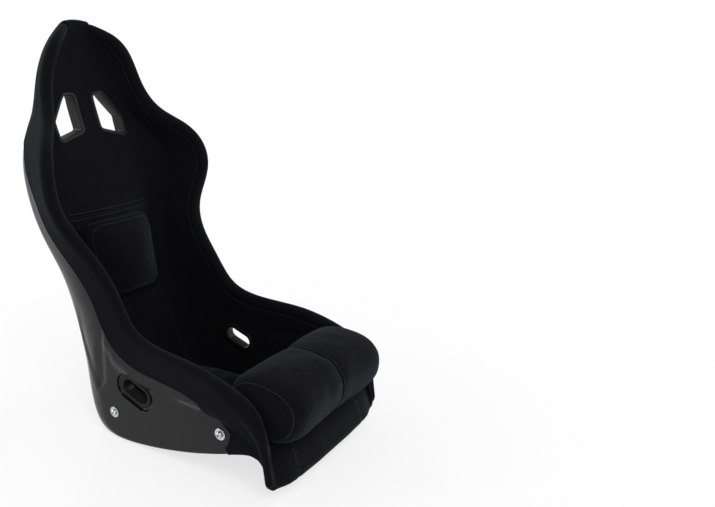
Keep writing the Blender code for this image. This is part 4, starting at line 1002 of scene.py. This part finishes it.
def seat_form():
    """Solid that carves the underside of a pad to the seat's own shape."""
    grid = skin(LOOK_U, LOOK_V, PAD_DEPTH + LIFT, 1)
    back = skin(LOOK_U, LOOK_V, -LIFT - COVER_LAY)
    return padded_solid("seat_form", both(grid), both(back), both(seat_mould), shown=False)


def between(grid, i, j):
    """Value of a grid at fractional places."""
    a, b = (np.minimum(at.astype(int), n - 2) for at, n in zip((i, j), grid.shape))
    s, t = (i - a)[..., None], (j - b)[..., None]
    return ((1 - s) * ((1 - t) * grid[a, b] + t * grid[a, b + 1])
            + s * ((1 - t) * grid[a + 1, b] + t * grid[a + 1, b + 1]))


def column_of(u, x):
    """Column where the mould's row at u reaches half width x."""
    widths = np.maximum.accumulate(seat_mould[:, :, 0], axis=1)
    rows = np.clip(np.round(u * (len(LOOK_U) - 1)).astype(int), 0, len(LOOK_U) - 1)
    at = [np.interp(a, widths[r], LOOK_V) for r, a in zip(rows.ravel(), x.ravel())]
    return np.array(at).reshape(x.shape)


def row_of(axis, value, low, high):
    """Loft row between low and high whose centre point has this y or z."""
    rows = np.linspace(low, high, 400)
    line = mould(rows, [0.0, 0.5])[:, 0, axis]
    return float(rows[np.argmin(np.abs(line - value))])


def coordinates(obj):
    flat = np.empty(3 * len(obj.data.vertices))
    obj.data.vertices.foreach_get("co", flat)
    return flat.reshape(-1, 3)


def place_at(obj, points):
    obj.data.vertices.foreach_set("co", points.ravel())
    obj.data.update()


def stuffed(pad):
    """Lets the foam swell the sleeve: cloth under pressure, no point moving past the cap."""
    mod = pad.modifiers.new("remesh", "REMESH")
    mod.mode, mod.voxel_size = "VOXEL", VOXEL
    applied(pad)
    before = coordinates(pad)
    cloth = pad.modifiers.new("cloth", "CLOTH").settings
    cloth.use_pressure, cloth.uniform_pressure_force = True, PRESSURE
    cloth.effector_weights.gravity = 0
    for k in range(1, FRAMES + 1):
        bpy.context.scene.frame_set(k)
    applied(pad)
    bpy.context.scene.frame_set(1)
    move = coordinates(pad) - before
    far = np.linalg.norm(move, axis=1, keepdims=True)
    place_at(pad, before + move * np.minimum(1, SWELL_CAP / np.maximum(far, 1e-9)))
    mod = pad.modifiers.new("finer", "SUBSURF")
    mod.levels = mod.render_levels = 1
    applied(pad)
    return pad


def press(pad, seams):
    """Presses sewn lines into the stuffed cloth: (points, depth, width) for each."""
    points = coordinates(pad)
    normals = np.array([v.normal for v in pad.data.vertices])
    push = np.zeros(len(points))
    for line, depth, width in seams:
        near = KDTree(len(line))
        for k, p in enumerate(line):
            near.insert(p, k)
        near.balance()
        push += hollow(np.array([near.find(p)[2] for p in points]), width, depth)
    place_at(pad, points + normals * push[:, None])
    smooth(pad, 60)


def dense(path):
    """Points at even steps round a closed seam."""
    return resampled(np.concatenate([path, path[:1]]), SEAM_POINTS)[0]


def landed(pad, path, out, up=0.25 * MM):
    """The path dropped on the finished pad, and the directions out of it."""
    mesh = pad.data
    skin_tree = BVHTree.FromPolygons([v.co for v in mesh.vertices],
                                     [p.vertices for p in mesh.polygons])
    spots = []
    for p, o in zip(path, out):
        spot = skin_tree.ray_cast(Vector(p + o * 0.02), Vector(-o))[0]
        spots.append((Vector(p) if spot is None else spot) + Vector(o) * up)
    return np.array(spots), np.array(out)


def outline_at(far, out, places, level):
    """Points and directions on a pad's face along its outline, level of the way out."""
    p, q = np.cos(circle(360)), np.sin(circle(360))
    m = np.maximum(np.abs(p), np.abs(q)) / level
    i, j = (np.interp(at / m, places, range(len(places))) for at in (p, q))
    return between(far, i, j), unit(between(out, i, j))


PAD_CELLS, PAD_CORNER, PAD_WAIST = 88, 5.0, 0.035   # cells a side, squareness, drawn-in sides
PAD_ROUND, PAD_CROWN, PAD_SINK = 2.4, 0.16, 8 * MM
SEAM_IN, STITCH_IN, CROSS_STITCH = 14 * MM, 17.5 * MM, 3.4 * MM   # edge seam, stitches
EDGE_PRESS, CROSS_PRESS = (1.6 * MM, 2.0 * MM), (2.4 * MM, 2.4 * MM)   # depth and width


def loose_pad(name, node, u0, u1, half, thick, cross=(), fill=0.7):
    """Pad on the seat's face: rounded outline, crowned top, underside cut to the seat."""
    t = np.sin(0.5 * math.pi * np.linspace(-1, 1, PAD_CELLS + 1))
    a, b = np.meshgrid(t, t, indexing="ij")
    ring = np.maximum(np.abs(a), np.abs(b))
    safe = np.where(ring > 0, ring, 1)
    along = np.where(ring > 0, np.abs(a), 1) / safe
    pull = (along ** PAD_CORNER + np.abs(b / safe) ** PAD_CORNER) ** (-1 / PAD_CORNER)
    u = 0.5 * (u0 + u1) + 0.5 * (u1 - u0) * a * pull
    x = half * b * pull * (1 - PAD_WAIST * (1 - a ** 2) * ease(np.abs(b)))
    at = (np.clip(u, 0, 1) * (len(LOOK_U) - 1),
          np.clip(column_of(u, np.abs(x)), 0, 1) * (len(LOOK_V) - 1))
    spot, out = between(seat_face, *at), unit(between(seat_out, *at))
    turn = np.where(x[..., None] < 0, MIRROR, 1.0)
    rise = (1 - ring ** 5) ** (1 / PAD_ROUND)
    top = thick * (1 - PAD_CROWN * ring ** 2) * rise - SWELL_ROOM
    near = (spot - out * PAD_SINK) * turn
    far = (spot + out * (top - PAD_SINK * (1 - rise))[..., None]) * turn
    out = out * turn
    far = far + out * (uneven(far, 0.05, 0.0009) * rise)[..., None]
    size = PAD_CELLS + 1
    held = {i * size + j for i, j in border(size, size)}
    faces = net_faces(size, size)
    faces += [tuple(k if k in held else size * size + k for k in f[::-1]) for f in faces]
    verts = np.concatenate([far.reshape(-1, 3), near.reshape(-1, 3)])
    pad = stuffed(link(name, verts, faces, material=velour, sharp=60))
    edge, edge_out = outline_at(far, out, t, 1 - SEAM_IN / half)
    seams = [(dense(landed(pad, edge, edge_out, 0)[0]), *EDGE_PRESS)]
    rows = []
    for where in cross:
        i = int(np.argmin(np.abs(t - where)))
        rows.append(landed(pad, far[i, 6:-6], out[i, 6:-6], 0))
        seams.append((resampled(rows[-1][0], SEAM_POINTS)[0], *CROSS_PRESS))
    press(pad, seams)
    cut(pad, seat_form(), sharp=60)
    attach(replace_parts(pad, node), "root")
    path, ways = landed(pad, *outline_at(far, out, t, 1 - STITCH_IN / half))
    lines = [(np.concatenate([path, path[:1]]), np.concatenate([ways, ways[:1]]))]
    for line, line_out in rows:
        across = unit(np.cross(line_out, np.gradient(line, axis=0)))
        lines += [landed(pad, line + across * gap, line_out)
                  for gap in (-CROSS_STITCH, CROSS_STITCH)]
    stitches(name + "_stitching", lines)


U_BACK = (row_of(2, 440 * MM, 0.2, 0.6), row_of(2, 238 * MM, 0.2, 0.6))
U_BASE = (row_of(1, 100 * MM + SHIFT_Y, 0.6, 0.85), row_of(1, -92 * MM + SHIFT_Y, 0.6, 0.9))
loose_pad("lumbar_cushion", "lumbar_pad", *U_BACK, 125 * MM, 30 * MM, fill=0.7)
loose_pad("seat_cushion", "base_cushion", *U_BASE, 150 * MM, 38 * MM, cross=(-0.05,), fill=0.7)


# ================ thigh cushion
# A deep two-lobed roll of soft foam in a velour sleeve. A gathered seam down the middle
# pulls the cloth in and parts the lobes; the end panels are sewn in with a welted seam.
THIGH_AT, THIGH_TILT = (-310 * MM + SHIFT_Y, 169 * MM), math.radians(5.5)
THIGH_REACH, THIGH_HEIGHT, THIGH_BELOW, THIGH_HALF = 88 * MM, 57 * MM, 76 * MM, 192 * MM
THIGH_SQUARE = 2.3               # squareness of the roll's outline, 2 being an ellipse
VALLEY_LEFT, VALLEY_WIDE = 0.90, 0.075   # height left at the middle seam, share of half width
GATHER, GATHER_WIDE, LOBE = 0.035, 0.030, 0.020
END_SEAM, END_STITCH, MIDDLE_STITCH = 0.95, 0.928, 0.026   # shares of the half width
MIDDLE_PRESS, END_PRESS = (4.2 * MM, 2.6 * MM), (1.8 * MM, 2.0 * MM)
STITCH_DOWN = 45 * MM            # stitches end this far below the middle of the roll
THIGH_AROUND, THIGH_RINGS = 112, 161


def thigh_ring(s, shrink=0.0, count=THIGH_AROUND):
    """Outline of the roll at a share of its half width."""
    end = (1 - min(1, abs(s)) ** 12) ** (1 / 3.2)
    valley = 1 - (1 - VALLEY_LEFT) * math.exp(-(s / VALLEY_WIDE) ** 2)
    lobe = (1 + LOBE * math.sin(math.pi * min(abs(s), 1.0))
            - GATHER * math.exp(-(s / GATHER_WIDE) ** 2))
    c, w = np.cos(circle(count)), np.sin(circle(count))
    round_off = (np.abs(c) ** THIGH_SQUARE + np.abs(w) ** THIGH_SQUARE) ** (-1 / THIGH_SQUARE)
    reach = (THIGH_REACH - shrink) * end * (0.5 + 0.5 * valley) * (0.5 + 0.5 * lobe)
    up = np.where(w > 0, (THIGH_HEIGHT - shrink) * valley * lobe, THIGH_BELOW) * end
    a, b = reach * c * round_off, up * w * round_off
    cos, sin = math.cos(THIGH_TILT), math.sin(THIGH_TILT)
    return np.column_stack([np.full(count, s * (THIGH_HALF - shrink)),
                            THIGH_AT[0] + a * cos - b * sin, THIGH_AT[1] + a * sin + b * cos])


k = np.linspace(-1, 1, THIGH_RINGS)[1:-1]
thigh_x = 0.6 * np.sin(0.5 * math.pi * k) + 0.4 * k
rings = np.array([thigh_ring(x, SWELL_ROOM) for x in thigh_x])
way = unit(rings - rings.mean(1, keepdims=True))
rings = rings + way * uneven(rings, 0.07, 0.0022)[..., None]
tip, low = THIGH_HALF - SWELL_ROOM, rings.shape[0] * THIGH_AROUND
last = low - THIGH_AROUND
faces = [face for a in range(0, last, THIGH_AROUND)
         for face in band(a, a + THIGH_AROUND, THIGH_AROUND)]
for i in range(THIGH_AROUND):
    on = (i + 1) % THIGH_AROUND
    faces += [(low, on, i), (low + 1, last + i, last + on)]
verts = np.concatenate([rings.reshape(-1, 3), [[-tip, *THIGH_AT], [tip, *THIGH_AT]]])
thigh = stuffed(link("thigh_roll", verts, faces, material=velour, sharp=60))


def round_seam(s):
    """A seam round the roll, dropped on its skin, with the directions out of it."""
    ring = thigh_ring(s, 0, 240)
    return landed(thigh, ring, unit(ring - np.array([s * THIGH_HALF, *THIGH_AT])), 0)


seams = [(dense(round_seam(0.0)[0]), *MIDDLE_PRESS)]
seams += [(dense(round_seam(s)[0]), *END_PRESS) for s in (-END_SEAM, END_SEAM)]
press(thigh, seams)
cut(thigh, seat_form(), sharp=60)
lines = []
for s in (-END_STITCH, END_STITCH, -MIDDLE_STITCH, MIDDLE_STITCH):
    path, ways = round_seam(s)
    shown = path[:, 2] > THIGH_AT[1] - STITCH_DOWN
    start = int(np.argmax(shown & ~np.roll(shown, 1)))
    order = np.roll(np.arange(len(path)), -start)[:int(shown.sum())]
    lines.append((path[order] + ways[order] * 0.25 * MM, ways[order]))
stitches("thigh_stitching", lines)
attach(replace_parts(thigh, "thigh_cushion"), "root")


# ================ studio
# Plain pale floor under a pale world, three large soft lamps and two slim ones behind; the
# camera stands where the photographer stood.
floor_mat, tree, shader = finish_of("studio_floor", Roughness=0.6,
                                    Base_Color=(0.86, 0.86, 0.86, 1))
# the camera and mirror-like surfaces see it as even white, more so away from the seat
NEAR, FAR, WHITE_NEAR, WHITE_FAR = 0.3, 1.7, 0.72, 1.0
seen = add(tree, "LightPath").outputs
seen = add(tree, "Math", {0: seen["Is Camera Ray"], 1: seen["Is Glossy Ray"]}, operation="MAXIMUM")
away = add(tree, "VectorMath", {0: here(tree)}, operation="LENGTH").outputs["Value"]
white = add(tree, "MapRange", {"Value": away, "From Min": NEAR, "From Max": FAR,
                               "To Min": WHITE_NEAR, "To Max": WHITE_FAR},
            interpolation_type="SMOOTHSTEP")
share = add(tree, "Math", {0: seen.outputs[0], 1: white.outputs["Result"]}, operation="MULTIPLY")
glow = add(tree, "Emission", {"Color": (1, 1, 1, 1), "Strength": 1.0})
mixed = add(tree, "MixShader", {"Fac": share.outputs[0], 1: shader.outputs[0],
                                2: glow.outputs[0]})
tree.links.new(mixed.outputs[0], tree.nodes["Material Output"].inputs["Surface"])
floor = bpy.data.meshes.new("studio_floor")
floor.from_pydata([(-9, -9, 0), (9, -9, 0), (9, 9, 0), (-9, 9, 0)], [], [(0, 1, 2, 3)])
floor.materials.append(floor_mat)
placed("studio_floor", floor)

# the world is white to the camera, plain to the seat, and dimmer overhead in reflections
world = bpy.data.worlds.new("studio")
bpy.context.scene.world = world
world.use_nodes = True
tree = world.node_tree
seen = add(tree, "LightPath").outputs
height = add(tree, "SeparateXYZ", {"Vector": add(tree, "TexCoord").outputs["Generated"]})
above = add(tree, "MapRange", {"Value": height.outputs["Z"], "From Min": 0.04, "From Max": 0.42,
                               "To Min": 1.0, "To Max": 0.16}, interpolation_type="SMOOTHSTEP")
mirrored = add(tree, "Mix", {"Factor": seen["Is Glossy Ray"], 2: 0.55, 3: above.outputs["Result"]})
strength = add(tree, "Mix", {"Factor": seen["Is Camera Ray"], 2: mirrored.outputs[0], 3: 1.0})
sky = tree.nodes["Background"].inputs
sky["Color"].default_value = (1, 1, 1, 1)
tree.links.new(strength.outputs[0], sky["Strength"])

# name, place, point it faces, width and height, power
LAMPS = [("key", (-1.6, -2.0, 2.6), (0, 0, 0.45), (1.8, 1.8), 55),
         ("fill", (2.4, -1.2, 1.8), (0, 0, 0.45), (1.6, 1.6), 25),
         ("back", (-0.6, 2.4, 2.0), (0, 0, 0.5), (2.0, 1.2), 24),
         ("rear_strip_left", (1.7, 1.9, 0.9), (0, 0.1, 0.5), (0.22, 1.7), 9),
         ("rear_strip_right", (-1.9, 1.5, 0.8), (0, 0.1, 0.4), (0.22, 1.5), 9)]
for name, at, toward, size, power in LAMPS:
    data = bpy.data.lights.new(name, "AREA")
    data.shape, data.size, data.size_y, data.energy = "RECTANGLE", *size, power
    obj = placed(name, data)
    obj.location = at
    obj.rotation_euler = (Vector(toward) - Vector(at)).to_track_quat("-Z", "Y").to_euler()

# The seat stands at the left of the frame, seen from its front right, a little above.
AZIMUTH, ELEVATION, DISTANCE = math.radians(-48.7), math.radians(11.2), 1.6184
AIM = Vector((0, 0.075 + SHIFT_Y, 0.481))
TURN, TIP, ROLL = math.radians(-2.7), math.radians(-3.8), math.radians(1.2)
FRAME_W, SEAT_AT, FOCAL, SENSOR = 715, 197, 709.8, 36   # pixels, and the sensor in mm
back = Vector((math.sin(AZIMUTH) * math.cos(ELEVATION), -math.cos(AZIMUTH) * math.cos(ELEVATION),
               math.sin(ELEVATION)))
right = (-back).cross(Vector((0, 0, 1))).normalized()
basis = Matrix((right, right.cross(-back), back)).transposed()
basis = Matrix.Rotation(TURN, 3, "Z") @ basis
basis = Matrix.Rotation(TIP, 3, basis.col[0]) @ basis
basis = Matrix.Rotation(ROLL, 3, -basis.col[2]) @ basis
data = bpy.data.cameras.new("camera")
data.sensor_width, data.lens = SENSOR, FOCAL / FRAME_W * SENSOR
data.shift_x = (0.5 * FRAME_W - SEAT_AT) / FRAME_W
data.clip_start, data.clip_end = 0.05, 60
camera = placed("camera", data)
camera.matrix_world = Matrix.Translation(AIM + back * DISTANCE) @ basis.to_4x4()
bpy.context.scene.camera = camera
bpy.context.scene.view_settings.view_transform = "Standard"

bpy.context.view_layer.update()
